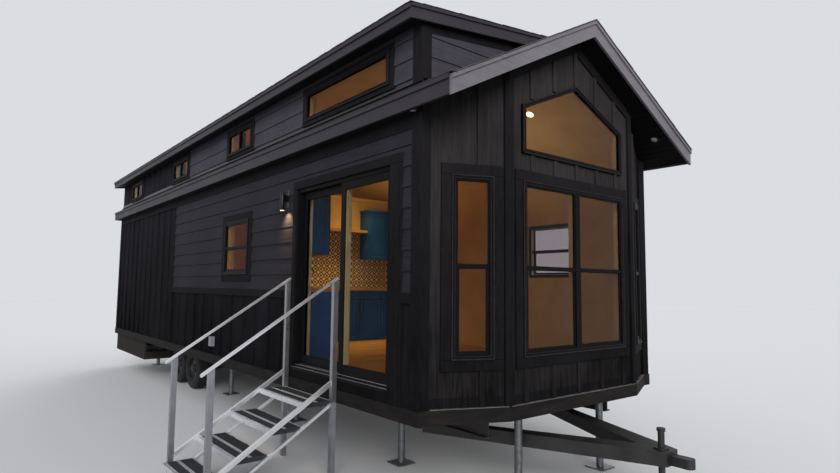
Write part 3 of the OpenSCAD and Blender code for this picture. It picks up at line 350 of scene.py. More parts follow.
def shingle_material():
    """Asphalt shingles: mineral granules of several browns and greys, each tab its own shade."""
    made, tree, shader = material("asphalt_shingle", 0.92, ior=1.5)
    place = node(tree, "ShaderNodeTexCoord").outputs["Object"]
    cells = node(tree, "ShaderNodeVectorMath", {0: place, 1: (0.13, 0.21, 9.0)}, operation="SNAP")
    shade = node(tree, "ShaderNodeTexWhiteNoise", {"Vector": cells}, noise_dimensions="3D")
    # Real granules are 1 to 2 mm; they are drawn at 6 mm so that they show.
    granules = node(tree, "ShaderNodeTexNoise", {"Vector": place, "Scale": 170.0, "Detail": 3.0, "Roughness": 0.7})
    streaks = node(tree, "ShaderNodeTexNoise", {"Vector": place, "Scale": 1.4, "Detail": 4.0})
    share = node(tree, "ShaderNodeMath", {0: shade, 1: TAB_SHARE}, operation="MULTIPLY")
    for pattern in (granules, streaks):
        share = node(tree, "ShaderNodeMath", {0: pattern, 1: share}, operation="ADD")
    share = node(tree, "ShaderNodeMath", {0: share, 1: 0.5}, operation="MULTIPLY")
    plug(tree, shader, {
        "Base Color": node(tree, "ShaderNodeValToRGB", {"Fac": share}, (
            (0.35, "37322e"), (0.6, "544b44"), (0.85, "6d635a"))),
        "Normal": node(tree, "ShaderNodeBump", {"Height": granules, "Strength": 0.6, "Distance": 0.002})})
    return made


shingle = shingle_material()


def mottled(name, dark, pale, roughness, scale, metallic=0.0, ior=1.5, bump_depth=0.0):
    """A finish whose colour drifts between two shades, with a bump of the same pattern.
    scale is the patches' count per metre along each axis."""
    made, tree, shader = material(name, roughness, metallic, ior)
    place = node(tree, "ShaderNodeTexCoord").outputs["Object"]
    patches = node(tree, "ShaderNodeMapping", {"Vector": place, "Scale": scale})
    pattern = node(tree, "ShaderNodeTexNoise", {"Vector": patches, "Scale": 1.0, "Detail": 5.0, "Roughness": 0.6})
    gloss = node(tree, "ShaderNodeMapRange", {
        "Value": pattern, "From Min": 0.3, "From Max": 0.7,
        "To Min": roughness - 0.07, "To Max": roughness + 0.07})
    plug(tree, shader, {
        "Base Color": node(tree, "ShaderNodeValToRGB", {"Fac": pattern}, ((0.35, dark), (0.65, pale))),
        "Roughness": gloss})
    if bump_depth:
        bump = node(tree, "ShaderNodeBump", {"Height": pattern, "Strength": 0.6, "Distance": bump_depth})
        plug(tree, shader, {"Normal": bump})
    return made


# Dust from the road clings to the lowest band and the box under the rear floor.
band_paint = mottled("painted_band_dusty", "19181a", "2b2725", 0.76, (2.5, 2.5, 14), ior=1.18, bump_depth=0.0005)
box_paint = mottled("painted_skirt_panel_dusty", "201f1e", "35312d", 0.8, (3, 3, 5), ior=1.18, bump_depth=0.0004)
# Powder-coated aluminium: an even satin dark bronze with the faint orange peel of baked powder.
frame_black = mottled("powder_coated_aluminium", "100f11", "191718", 0.46, (180, 180, 180), ior=1.12, bump_depth=0.0002)
# The frames' outer rims are coloured paler as a painted highlight along their edges.
rim_highlight_paint = mottled("coated_rim_painted_highlight", "262425", "363234", 0.48, (20, 20, 20), ior=1.12, bump_depth=0.0001)
# Chassis steel in black enamel, dulled by road dirt.
chassis_steel = mottled("enamelled_chassis_steel", "121214", "2a2826", 0.55, (6, 6, 9), bump_depth=0.0006)
# Galvanised stands: a pale grey, darkened as painted shade under the house, with the soft patches of its zinc crystals.
stand_steel = mottled("galvanised_steel", "5c5f61", "797c7e", 0.48, (30, 30, 30), metallic=0.85, bump_depth=0.0002)
# Extruded aluminium left bare: an even soft grey sheen with a faint bloom of oxide; its grey is darker than the metal's
# own, as painted shade.
aluminium = mottled("bare_extruded_aluminium", "8d8e92", "999a9e", 0.32, (7, 7, 7), metallic=0.8)
# The rails, stringers and nosings take the same aluminium near white, as a painted highlight.
aluminium_with_painted_highlight = mottled("aluminium_painted_highlight", "dfe0e3", "e9eaec", 0.3, (6, 6, 6), metallic=0.75)
# Treads: fine dark grip lines across them, dulled by shoes.
tread_grip = mottled("anodised_tread_grip", "26262a", "38383d", 0.62, (120, 10, 60), metallic=0.35, bump_depth=0.0005)
# Tyre rubber: flat near-black, greyed by dust. The rims' enamel keeps a low shine; its dark grey is painted shade from
# the house above.
rubber = mottled("tyre_rubber", "17171a", "242426", 0.82, (14, 14, 14), bump_depth=0.0004)
rim_steel_with_painted_shade = mottled("rim_enamel_painted_shade", "26272a", "3a3b3f", 0.42, (20, 20, 20), metallic=0.3, bump_depth=0.0002)
# Flashings: bare sheet gone dull over the bay's band, and a dark coated sheet against the dormer.
drip_metal = mottled("bare_drip_flashing", "6d6d6a", "8b8b87", 0.45, (9, 9, 9), metallic=0.4)
flashing = mottled("coated_flashing_metal", "2b2c2f", "3a3b3f", 0.42, (3, 3, 30), metallic=0.4, bump_depth=0.0003)
# Moulded plastic: a mid grey with the faint texture of its mould.
inlet_plastic = mottled("grey_moulded_plastic", "7c7f84", "8f9296", 0.5, (90, 90, 90), bump_depth=0.0002)
# Sprayed cabinet fronts: an even satin blue, with near-navy strips round their edges and sunk panels as painted shade.
cabinet_paint = mottled("satin_cabinet_paint", "134585", "1d5898", 0.42, (5, 5, 2), ior=1.3, bump_depth=0.0002)
cabinet_shade = mottled("cabinet_edge_painted_shade", "071a3c", "0b2450", 0.6, (5, 5, 2), ior=1.3)
# Sealed pale wood round the door, and cream paint rolled on the walls: both soft, with faint clouds.
casing_wood = mottled("pale_inner_casing", "a98f6a", "bba27d", 0.5, (30, 30, 3), bump_depth=0.0003)
wall_cream = mottled("cream_wall_paint", "c9a35e", "d6b26e", 0.7, (5, 5, 5), bump_depth=0.0003)
# Blackened steel: near black with a clear highlight along its edges.
black_metal = mottled("blackened_handle_steel", "0f0f10", "19191a", 0.35, (80, 80, 80), metallic=0.5)


def oak_material(name, scale, pale, mid, dark, board=0.0):
    """Oiled oak: long darker growth lines along the board and fine open pores. board is the boards' width
    where the colour changes from one to the next."""
    made, tree, shader = material(name, 0.42, ior=1.5)
    place = node(tree, "ShaderNodeTexCoord").outputs["Object"]
    along = node(tree, "ShaderNodeMapping", {"Vector": place, "Scale": scale})
    figure = node(tree, "ShaderNodeTexNoise", {
        "Vector": along, "Scale": 1.0, "Detail": 8.0, "Roughness": 0.65, "Distortion": 1.2})
    shade = figure
    if board:
        cells = node(tree, "ShaderNodeVectorMath", {0: place, 1: (9.0, board, 9.0)}, operation="SNAP")
        each = node(tree, "ShaderNodeTexWhiteNoise", {"Vector": cells}, noise_dimensions="3D")
        lift = node(tree, "ShaderNodeMapRange", {"Value": each, "To Min": -0.13, "To Max": 0.13})
        shade = node(tree, "ShaderNodeMath", {0: figure, 1: lift}, operation="ADD")
    plug(tree, shader, {
        "Base Color": node(tree, "ShaderNodeValToRGB", {"Fac": shade}, ((0.3, dark), (0.5, mid), (0.72, pale))),
        "Normal": node(tree, "ShaderNodeBump", {"Height": figure, "Strength": 0.4, "Distance": 0.0006})})
    return made


oak_floor = oak_material("oiled_oak_floor", (2.2, 34, 34), "c08c42", "a87634", "80561f", board=0.150)
oak_top = oak_material("oiled_oak_worktop", (2.0, 30, 30), "cf9b58", "b88446", "976733")

MOSAIC_PITCH = 0.112
RING_AT, RING_HALF, DOT_HALF = 0.44, 0.12, 0.17  # shares of the pitch


def mosaic_material():
    """Glazed mosaic: cream squares with brown diamond rings, and small brown squares between them.
    The brown is sunk a little."""
    made, tree, shader = material("glazed_mosaic_tile", 0.25, ior=1.5)
    place = node(tree, "ShaderNodeTexCoord").outputs["Object"]
    tiles = node(tree, "ShaderNodeMapping", {"Vector": place, "Scale": (1 / MOSAIC_PITCH,) * 3})
    parts = node(tree, "ShaderNodeSeparateXYZ", {0: tiles})
    flat = node(tree, "ShaderNodeCombineXYZ", {"X": parts.outputs["X"], "Y": parts.outputs["Z"]})
    half = node(tree, "ShaderNodeVectorMath", {0: flat, 1: (0.5, 0.5, 0)}, operation="ADD")
    diamonds, squares = (
        node(tree, "ShaderNodeTexVoronoi", {"Vector": grid, "Scale": 1.0, "Randomness": 0.0},
             voronoi_dimensions="2D", distance=measure)
        for grid, measure in ((flat, "MANHATTAN"), (half, "CHEBYCHEV")))
    ring = node(tree, "ShaderNodeMath", {0: diamonds, 1: RING_AT}, operation="SUBTRACT")
    ring = node(tree, "ShaderNodeMath", {0: ring}, operation="ABSOLUTE")
    ring = node(tree, "ShaderNodeMath", {0: ring, 1: RING_HALF}, operation="LESS_THAN")
    dot = node(tree, "ShaderNodeMath", {0: squares, 1: DOT_HALF}, operation="LESS_THAN")
    dark = node(tree, "ShaderNodeMath", {0: ring, 1: dot}, operation="MAXIMUM")
    sunk = node(tree, "ShaderNodeBump", {"Height": dark, "Strength": 0.3, "Distance": 0.0006}, invert=True)
    plug(tree, shader, {
        "Base Color": node(tree, "ShaderNodeValToRGB", {"Fac": dark}, ((0.0, "dfc997"), (1.0, "33251b"))),
        "Normal": sunk})
    return made


mosaic = mosaic_material()


def glass_material(name, tint, ior):
    """Double-glazed panes, toned by their coating, whose outer face mirrors little."""
    made, _, shader = material(name, 0.01, ior=ior, colour=tint)
    shader.inputs["Transmission Weight"].default_value = 1.0
    return made


# The front panes mirror a little more than the side ones, and the door's are clearer.
glass = glass_material("toned_window_glass", "c2bcbf", 1.06)
front_glass = glass_material("toned_front_glass", "c2bcbf", 1.16)
door_glass = glass_material("clear_door_glass", "dbe0da", 1.06)


def lamp_material(name, code, strength):
    """A lit diffuser: an opal disc that glows warm."""
    made, _, shader = material(name, 0.5, colour="f4ead6")
    shader.inputs["Emission Color"].default_value = srgb(code)
    shader.inputs["Emission Strength"].default_value = strength
    return made


lamp_glow = lamp_material("lit_opal_diffuser", "ffd9a0", 5.0)
# An opal disc that is not lit: a plain off-white.
soffit_opal = mottled("unlit_opal_diffuser", "c8c6c0", "d4d2cb", 0.5, (40, 40, 40))

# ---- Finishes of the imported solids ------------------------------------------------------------

NODE_FINISH = {
    "chassis_rails": chassis_steel, "cross_members": chassis_steel, "tongue": chassis_steel,
    "tongue_jack": chassis_steel, "axles": chassis_steel, "support_stands": stand_steel,
    "underfloor_box": box_paint, "floor_deck": siding_upright,
    "left_wall_front": wall_left, "left_wall_over_door": wall_left, "left_wall_rear": wall_left,
    "right_wall": wall_right, "rear_wall": wall_rear, "bay_left_wall": wall_bay_left,
    "bay_front_wall": wall_front, "bay_right_wall": wall_bay_right, "dormer_front_wall": wall_cheek,
    "bay_roof": roof_slab, "dormer_roof": dormer_slab, "eave_roof": roof_slab,
    "eave_fascias": fascia_paint, "dormer_fascias": fascia_paint, "barge_boards": rake_paint_with_painted_light,
    "corner_boards": trim_paint, "trim_boards": trim_paint, "belly_band": band_paint,
    "window_frames": frame_black, "bay_window_frames": frame_black, "gable_window_frame": frame_black,
    "dormer_window_frames": frame_black, "window_glass": glass, "bay_window_glass": front_glass,
    "gable_window_glass": front_glass, "dormer_window_glass": glass,
    "door_frame": frame_black, "door_fixed_panel": frame_black, "door_fixed_glass": door_glass,
    "door_sliding_panel": frame_black, "door_sliding_glass": door_glass,
    "power_inlet": inlet_plastic, "kitchen_wall": wall_cream, "kitchen_cabinets": cabinet_paint,
    "kitchen_worktop": oak_top, "kitchen_shelf": oak_top,
    "stair_posts": aluminium, "stair_stringers": aluminium_with_painted_highlight, "stair_handrails": aluminium_with_painted_highlight,
    "stair_treads": tread_grip,
}
for name, finish in NODE_FINISH.items():
    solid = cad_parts[name]
    solid.data.materials.clear()
    solid.data.materials.append(finish)

# ---- Workshop helpers -------------------------------------------------------------------------


def choose(piece, kind, wanted):
    """Opens edit mode with only the vertices or faces of a piece that wanted() accepts."""
    mesh = piece.data
    for group in (mesh.vertices, mesh.edges, mesh.polygons):
        group.foreach_set("select", [False] * len(group))
    if kind == "VERT":
        for vertex in mesh.vertices:
            vertex.select = wanted(vertex.co)
    else:
        for face in mesh.polygons:
            face.select = wanted(face)
    bpy.context.tool_settings.mesh_select_mode = (kind == "VERT", False, kind == "FACE")
    bpy.ops.object.mode_set(mode="EDIT")


def leave():
    """Goes back from edit mode to object mode."""
    bpy.ops.object.mode_set(mode="OBJECT")


def every(_):
    """Accepts all faces or vertices."""
    return True


def many_sided(face):
    """The round ends of a turned piece."""
    return len(face.vertices) > 8


def shift(piece, wanted, move):
    """Moves the vertices that wanted() accepts."""
    choose(piece, "VERT", wanted)
    bpy.ops.transform.translate(value=move)
    leave()


def ease_faces(piece, wanted, offset, segments=1):
    """Eases the edges of the faces that wanted() accepts."""
    choose(piece, "FACE", wanted)
    bpy.ops.mesh.bevel(offset=offset, segments=segments)
    leave()


def only(pieces):
    """Selects these pieces alone, with the first one active."""
    bpy.ops.object.select_all(action="DESELECT")
    for piece in pieces:
        piece.select_set(True)
    bpy.context.view_layer.objects.active = pieces[0]


def set_down(piece, spot):
    """Brings a piece from a wall's own frame to its place, and puts that place in its mesh."""
    piece.matrix_world = spot @ piece.matrix_world
    bpy.ops.object.transform_apply(location=True, rotation=True, scale=True)
    return piece


def block(low, high, ease=0.0):
    """A sawn block between two corners of a wall's own frame, its edges eased."""
    low, high = Vector(low), Vector(high)
    bpy.ops.mesh.primitive_cube_add(size=1, location=(low + high) / 2, scale=high - low)
    piece = bpy.context.object
    bpy.ops.object.transform_apply(location=True, rotation=False, scale=True)
    if ease:
        ease_faces(piece, every, ease)
    return piece


def board(spot, low, high, ease=0.0015):
    """A sawn board set down on a wall."""
    return set_down(block(low, high, ease), spot)


NEAR = 1e-4
LAP_BUTT, LAP_TOP = 0.019, 0.008  # a lap board's thickness at its lower edge and where the next one covers it
LEAST_SPAN = 0.006  # nothing narrower is cut


def lap_board(spot, x0, x1, z0, z1, butt_z):
    """One lap siding board: its face leans back from the butt up to the next board.
    butt_z lies below z0 where the board is notched over a window."""

    def out(z):
        return LAP_BUTT - (LAP_BUTT - LAP_TOP) * (z - butt_z) / LAP

    piece = block((x0, -out(z0), z0), (x1, 0, z1))
    edge = -out(z0) + NEAR
    shift(piece, lambda co: co.z > z1 - NEAR and co.y < edge, (0, out(z0) - out(z1), 0))
    ease_faces(piece, lambda face: face.normal.y < -0.5, 0.0015)
    return set_down(piece, spot)


def spans(x0, x1, z0, z1, holes):
    """Cuts the strip from x0 to x1 and z0 to z1 round rectangular holes: a list of (x0, x1, z0, z1)."""
    strips = [(x0, x1, z0, z1)]
    for hx0, hx1, hz0, hz1 in holes:
        cut = []
        for a, b, low, high in strips:
            if hx1 <= a or hx0 >= b or hz1 <= low or hz0 >= high:
                cut.append((a, b, low, high))
                continue
            if hx0 > a:
                cut.append((a, hx0, low, high))
            if hx1 < b:
                cut.append((hx1, b, low, high))
            if hz0 > low:
                cut.append((max(a, hx0), min(b, hx1), low, hz0))
            if hz1 < high:
                cut.append((max(a, hx0), min(b, hx1), hz1, high))
        strips = cut
    return [(a, b, low, high) for a, b, low, high in strips if min(b - a, high - low) > LEAST_SPAN]


def lap_courses(spot, x0, x1, z0, z1, holes):
    """Courses of lap boards from z0 up to z1, notched round the openings."""
    made, z = [], z0
    while z < z1 - 0.01:
        for a, b, low, high in spans(x0, x1, z, min(z + LAP, z1), holes):
            made.append(lap_board(spot, a, b, low, high, z))
        z += LAP
    return made


def battens(spot, places, z0, z1, holes=(), width=BATTEN, out=BATTEN_OUT):
    """Upright battens at places along a wall, cut round the openings."""
    made = []
    for x in places:
        for a, b, low, high in spans(x - width / 2, x + width / 2, z0, z1, holes):
            made.append(board(spot, (a, -out, low), (b, 0, high)))
    return made


def joined(name, pieces, finish, body="house"):
    """Joins pieces that are alike into one, gives it its finish and fixes it to a body."""
    only(pieces)
    if len(pieces) > 1:
        bpy.ops.object.join()
    piece = pieces[0]
    piece.name = name
    piece.data.name = name
    piece.data.materials.clear()
    piece.data.materials.append(finish)
    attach(piece, body)
    bpy.ops.object.select_all(action="DESELECT")
    return piece


def copy_of(piece, place):
    """A copy of a piece with its own mesh, moved by a matrix."""
    twin = piece.copy()
    twin.data = piece.data.copy()
    bpy.context.scene.collection.objects.link(twin)
    twin.data.transform(place)
    return twin


def cut_away(piece, point, normal):
    """Saws a piece off along a plane, drops the part in front of it and closes the cut."""
    only([piece])
    choose(piece, "FACE", every)
    bpy.ops.mesh.bisect(plane_co=point, plane_no=normal, use_fill=True, clear_outer=True)
    leave()


def round_bar(spot, start, end, radius, sides=24, ease=0.0):
    """A turned bar between two points of a wall's own frame, its rims eased."""
    start, end = Vector(start), Vector(end)
    way = end - start
    bpy.ops.mesh.primitive_cylinder_add(
        vertices=sides, radius=radius, depth=way.length, location=(start + end) / 2,
        rotation=way.to_track_quat("Z", "Y").to_euler())
    piece = bpy.context.object
    if ease:
        ease_faces(piece, lambda face: len(face.vertices) > 4, ease, 2)
    bpy.ops.object.shade_smooth_by_angle(angle=math.radians(40))
    return set_down(piece, spot)


# ---- Openings, as holes in each wall's boards -------------------------------------------------

SIDE_WIN, SIDE_WIN_H, SIDE_SILL, SIDE_WIN_Y = 0.850, 0.750, 2.040, 4.050
MID_WIN_Y, REAR_WIN_Y, RIGHT_FIRST_Y = 6.777, 9.870, 1.335
DORMER_WIN, DORMER_LONG, DORMER_WIN_H, LONG_Y = 0.850, 1.630, 0.337, 1.268
DORMER_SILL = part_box("dormer_window_frames")[0].z
DORMER_CASING, DORMER_CASING_H = 0.070, 0.050
BAY_SILL, BAY_WIN_H = 1.275, 1.608
gable_low, gable_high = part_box("gable_window_frame")
BAY_WIN_HALF = (gable_high.x - gable_low.x) / 2
BAY_WIN_X = (gable_high.x + gable_low.x) / 2 - HOME.x
GABLE_SILL, GABLE_SHOULDER, GABLE_RISE = gable_low.z, 0.461, 0.354
ANGLED_WIN, ANGLED_SHIFT = 0.3965, 0.027

# Each framed window: its wall, centre, width, sill, height, and its casing's widths beside and above it
HUNG_WINDOWS = [(LEFT, -SIDE_WIN_Y), (REAR, 0.0)] + [
    (RIGHT, y) for y in (RIGHT_FIRST_Y, SIDE_WIN_Y, MID_WIN_Y, REAR_WIN_Y)]
HUNG_WINDOWS = [(spot, x, SIDE_WIN, SIDE_SILL, SIDE_WIN_H, CASING, CASING) for spot, x in HUNG_WINDOWS]
BAY_WINDOWS = [
    (BAY, BAY_WIN_X, 2 * BAY_WIN_HALF, BAY_SILL, BAY_WIN_H, CASING, CASING),
    (BAY_LEFT, ANGLED_SHIFT, ANGLED_WIN, BAY_SILL, BAY_WIN_H, CASING - 0.002, CASING),
    (BAY_RIGHT, -ANGLED_SHIFT, ANGLED_WIN, BAY_SILL, BAY_WIN_H, CASING - 0.002, CASING)]
DORMER_WINDOWS = [
    (LEFT, -y, width, DORMER_SILL, DORMER_WIN_H, DORMER_CASING, DORMER_CASING_H)
    for y, width in (
        (LONG_Y, DORMER_LONG), (SIDE_WIN_Y, DORMER_WIN), (MID_WIN_Y, DORMER_WIN), (REAR_WIN_Y, DORMER_WIN))]


def casing_hole(window):
    """The hole that a window and its casing leave in the siding: x0, x1, z0, z1."""
    spot, centre, width, sill, height, side, end = window
    return (centre - width / 2 - side, centre + width / 2 + side, sill - end, sill + height + end)


def holes_in(spot, windows):
    """The holes of the windows that stand in one wall."""
    return [casing_hole(window) for window in windows if window[0] is spot]


door_hole = (-DOOR_REAR - DOOR_CASING_REAR, -DOOR_FRONT + DOOR_CASING_FRONT, 0, DOOR_TOP + DOOR_CASING_HEAD)
left_holes = [door_hole] + holes_in(LEFT, HUNG_WINDOWS)
right_holes = holes_in(RIGHT, HUNG_WINDOWS)
rear_holes = holes_in(REAR, HUNG_WINDOWS)
dormer_holes = holes_in(LEFT, DORMER_WINDOWS)

# ---- Siding: lap boards, battens ---------------------------------------------------------------

RAIL_LOW = WAINSCOT_TOP - WAINSCOT_RAIL
WAINSCOT_BATTENS = [2.612, 2.977, 3.384, 3.778, 4.179, 4.558, 4.970, 5.368, 5.766, 6.192, 6.598]
REAR_BATTENS = [7.334, 7.715, 8.116, 8.543, 8.932, 9.299, 9.694, 10.099, 10.498, 10.906]
DORMER_BATTENS = [7.413, 7.802, 8.213, 8.619, 9.015, 9.433, 10.786]
BATTEN_STEP, REAR_BATTEN_STEP = 0.394, 0.3988
# Width and thickness of the batten that covers the lap boards' ends, on the long walls and on the dormer
STOP_BATTEN, DORMER_STOP_BATTEN = (0.064, 0.025), (0.060, 0.022)
BOARDS_TOP = FRIEZE_LOW + 0.02  # boards end behind the frieze
DORMER_LAP_END = 6.350
DORMER_FOOT = roof_top(HALF_W) + 0.094  # top of the flashing against the dormer wall
DORMER_HEAD = dormer_top(-HALF_W) - DORMER_THICK - 0.004  # the boards end just under the roof
CHEEK_FOOT = 3.544


def side_wall(spot, sign, name, wainscot, holes):
    """Boards of one long wall: lap boards over a battened wainscot, and battens up the rear part."""
    near, far = sorted((sign * CORNER, sign * LAP_END))
    laps = lap_courses(spot, near, far, WAINSCOT_TOP, BOARDS_TOP, holes)
    joined(name + "_lap_boards", laps, siding_level)
    low = battens(spot, [sign * y for y in wainscot], BAND_TOP, RAIL_LOW, holes)
    low += battens(spot, [sign * LAP_END], BAND_TOP, BOARDS_TOP, holes, *STOP_BATTEN)
    low += battens(spot, [sign * y for y in REAR_BATTENS], BAND_TOP, BOARDS_TOP, holes)
    joined(name + "_battens", low, siding_upright)


side_wall(LEFT, -1, "left", WAINSCOT_BATTENS, left_holes)
# The right wall has no door, so its wainscot is battened to the front corner
front_battens = [WAINSCOT_BATTENS[0] - step * BATTEN_STEP for step in range(6, 0, -1)]
side_wall(RIGHT, 1, "right", front_battens + WAINSCOT_BATTENS, right_holes)

dormer_laps = lap_courses(
    LEFT, -DORMER_LAP_END, -CORNER, DORMER_FOOT - 0.0055, DORMER_HEAD, dormer_holes)
joined("dormer_lap_boards", dormer_laps, siding_level_with_painted_light)
dormer_strips = battens(LEFT, [-y for y in DORMER_BATTENS], DORMER_FOOT, DORMER_HEAD, dormer_holes)
dormer_strips += battens(LEFT, [-DORMER_LAP_END], DORMER_FOOT, DORMER_HEAD, dormer_holes, *DORMER_STOP_BATTEN)
joined("dormer_battens", dormer_strips, siding_upright)

rear_strips = []
for step in range(-4, 5):
    x = step * REAR_BATTEN_STEP
    # seen from behind, the dormer is on the right
    top = dormer_top(-x) - DORMER_THICK if x > DORMER_MEET else roof_top(x) - ROOF_THICK
    rear_strips += battens(REAR, [x], BAND_TOP, top - 0.03, rear_holes)
joined("rear_battens", rear_strips, siding_upright)

# The cheek at the dormer's front: lap boards sawn along the roof below and the soffit above
cheek = []
z = CHEEK_FOOT
while z < DORMER_RIDGE_Z:
    cheek.append(lap_board(HOUSE, -HALF_W + CORNER, -DORMER_MEET - 0.01, z, z + LAP, z))
    z += LAP
cheek = joined("cheek_lap_boards", cheek, siding_level_with_painted_light)
slope_up = Vector((PITCH, 0, -1)).normalized()
cut_away(cheek, HOME + Vector((0, 0, RIDGE_Z + 0.010)), slope_up)
soffit_up = Vector((-DORMER_PITCH, 0, 1)).normalized()
cut_away(cheek, HOME + Vector((0, 0, DORMER_RIDGE_Z - DORMER_THICK - 0.05)), soffit_up)

# Bay: battens under the gable, between the windows and below them
RAKE_LOW = 0.100  # depth of the rake's frieze that hides the battens' tops
BAY_BATTEN_X, BAY_BATTEN_STEP = 0.010, 0.345  # the middle batten beside the gable window, and the step to the next
ANGLED_BATTEN_LOW, ANGLED_BATTEN_HIGH = 0.115, 0.095  # off the middle, under and over an angled wall's window
twin_hole = casing_hole(BAY_WINDOWS[0])
bay_strips = []
for step in range(-2, 3):
    x = BAY_BATTEN_X + step * BAY_BATTEN_STEP
    off = abs(x - BAY_WIN_X)
    gable_head = GABLE_SILL + GABLE_SHOULDER + GABLE_RISE * (1 - off / BAY_WIN_HALF) + 0.012
    bay_strips += battens(BAY, [x], twin_hole[3], GABLE_SILL)
    bay_strips += battens(BAY, [x], gable_head, roof_top(abs(x) + 0.02) - ROOF_THICK - RAKE_LOW)
    bay_strips += battens(BAY, [step * BATTEN_STEP], BAND_TOP, twin_hole[2])
for spot, side in ((BAY_LEFT, 1), (BAY_RIGHT, -1)):
    bay_strips += battens(spot, [side * ANGLED_BATTEN_LOW], BAND_TOP, BAY_SILL - CASING)
    bay_strips += battens(
        spot, [side * ANGLED_BATTEN_HIGH], BAY_SILL + BAY_WIN_H + CASING, roof_top(BAY_MID + 0.03) - ROOF_THICK)
joined("bay_battens", bay_strips, bay_siding_with_painted_light)

# ---- Window details ----------------------------------------------------------------------------


def window_ring(spot, x0, x1, z0, z1, bar, y0, y1):
    """A mitred sash or bead: a plate inset to its bar, its middle taken out and given its depth."""
    bpy.ops.mesh.primitive_plane_add(size=1, location=(0, 0, 0))
    piece = bpy.context.object
    piece.scale = (x1 - x0, z1 - z0, 1)
    piece.rotation_euler = (math.radians(90), 0, 0)
    piece.location = ((x0 + x1) / 2, y0, (z0 + z1) / 2)
    bpy.ops.object.transform_apply(location=True, rotation=True, scale=True)
    choose(piece, "FACE", every)
    bpy.ops.mesh.inset(thickness=bar)
    bpy.ops.mesh.delete(type="FACE")
    leave()
    choose(piece, "FACE", every)
    bpy.ops.mesh.extrude_region_move(TRANSFORM_OT_translate={"value": (0, y1 - y0, 0)})
    bpy.ops.mesh.select_all(action="SELECT")
    bpy.ops.mesh.normals_make_consistent(inside=False)
    leave()
    bevel = piece.modifiers.new("eased", "BEVEL")
    bevel.width = 0.0015
    bevel.segments = 1
    bpy.ops.object.modifier_apply(modifier="eased")
    return set_down(piece, spot)


def bar_along(spot, start, end, y0, y1, thick):
    """A bar between two points (x, z) on a wall. Its thickness lies to the left of the way from start to end."""
    run, climb = end[0] - start[0], end[1] - start[1]
    bar = block((0, y0, 0), (math.hypot(run, climb), y1, thick), 0.001)
    bar.data.transform(
        Matrix.Translation((start[0], 0, start[1])) @ Matrix.Rotation(-math.atan2(climb, run), 4, "Y"))
    return set_down(bar, spot)


FACE_Y = -0.030  # face of a window frame, a little in front of its casing
GLASS_Y = -0.013
SASH_LAP = 0.004  # how far a sash reaches over the frame's bar
SASH_BAR, LOWER_SASH_BAR = 0.018, 0.034
MEETING_UP, MEETING_DOWN = 0.012, 0.016  # the meeting rail's reach over and under the window's middle
# The frame's outer rim and its inner bead: how far in, how wide and how proud of the frame's face
RIM = (0.001, 0.011, 0.006)
BEAD = (0.028, 0.006, 0.003)
TWIN_POST_HALF = 0.035  # half the post between the bay's twin windows


def hung_window(spot, centre, width, sill, height):
    """The sashes of a double-hung window: the lower sash sits further in than the upper one."""
    x0, x1 = centre - width / 2 + FRAME_BAR - SASH_LAP, centre + width / 2 - FRAME_BAR + SASH_LAP
    low, high = sill + FRAME_BAR - SASH_LAP, sill + height - FRAME_BAR + SASH_LAP
    rail_low, rail_high = sill + height / 2 - MEETING_DOWN, sill + height / 2 + MEETING_UP
    upper = window_ring(spot, x0, x1, rail_low, high, SASH_BAR, FACE_Y + 0.006, GLASS_Y + 0.004)
    lower = window_ring(spot, x0, x1, low, rail_high, LOWER_SASH_BAR, FACE_Y + 0.013, GLASS_Y + 0.010)
    rail = board(spot, (x0, FACE_Y + 0.003, rail_low), (x1, GLASS_Y + 0.006, rail_high), 0.002)
    return [upper, lower, rail]


LINER_IN, LINER_T, LINER_Y = FRAME_BAR + 0.0005, 0.003, GLASS_Y + 0.022


def liner_ring(spot, centre, width, sill, height):
    """Thin cream boards that line a frame's opening behind the glass."""
    half = width / 2 - LINER_IN
    low, high = sill + LINER_IN, sill + height - LINER_IN
    return window_ring(spot, centre - half, centre + half, low, high, LINER_T, LINER_Y, FRAME_END)


sashes, rims, liners = [], [], []
for spot, x, width, sill, height, _, end in HUNG_WINDOWS + BAY_WINDOWS + DORMER_WINDOWS:
    # The frame's outer rim stands proud, and its lower rail carries a small nosing
    x0, x1, top = x - width / 2, x + width / 2, sill + height
    for inset, bar, proud in (RIM, BEAD):
        rims.append(window_ring(
            spot, x0 + inset, x1 - inset, sill + inset, top - inset, bar, FACE_Y - proud, FACE_Y + 0.004))
    rims.append(board(spot, (x0, FACE_Y - 0.012, sill), (x1, FACE_Y + 0.002, sill + 0.014), 0.003))
    lights = [(x, width)]
    if spot is BAY:
        off = (width / 2 + TWIN_POST_HALF - FRAME_BAR) / 2
        lights = [(x + side * off, width / 2 - TWIN_POST_HALF + FRAME_BAR) for side in (-1, 1)]
    for middle, light in lights:
        if end != DORMER_CASING_H:  # the dormer's windows are fixed
            sashes += hung_window(spot, middle, light, sill, height)
        liners.append(liner_ring(spot, middle, light, sill, height))


def gable_outline(inset):
    """The corners of the gable window's five sides, moved inwards, anticlockwise from the lower left."""
    half = BAY_WIN_HALF - inset
    cut = inset * math.hypot(1, GABLE_RISE / BAY_WIN_HALF)
    peak = GABLE_SILL + GABLE_SHOULDER + GABLE_RISE - cut
    shoulder = peak - GABLE_RISE * half / BAY_WIN_HALF
    low = GABLE_SILL + inset
    corners = [(-half, low), (half, low), (half, shoulder), (0, peak), (-half, shoulder)]
    return [(BAY_WIN_X + x, z) for x, z in corners]


for inset, thick, y0, y1, pile in (
        (RIM[0], RIM[1], FACE_Y - RIM[2], FACE_Y + 0.004, rims),
        (0.030, BEAD[1], FACE_Y - BEAD[2], FACE_Y + 0.004, rims),
        (LINER_IN, LINER_T, LINER_Y, FRAME_END, liners)):
    corners = gable_outline(inset)
    for step, corner in enumerate(corners):
        proud = 0.0002 * (step % 2)
        pile.append(bar_along(BAY, corner, corners[(step + 1) % 5], y0 - proud, y1, thick))
joined("window_sashes", sashes, frame_black)
joined("window_rims", rims, rim_highlight_paint)
joined("window_inner_liners", liners, wall_cream)

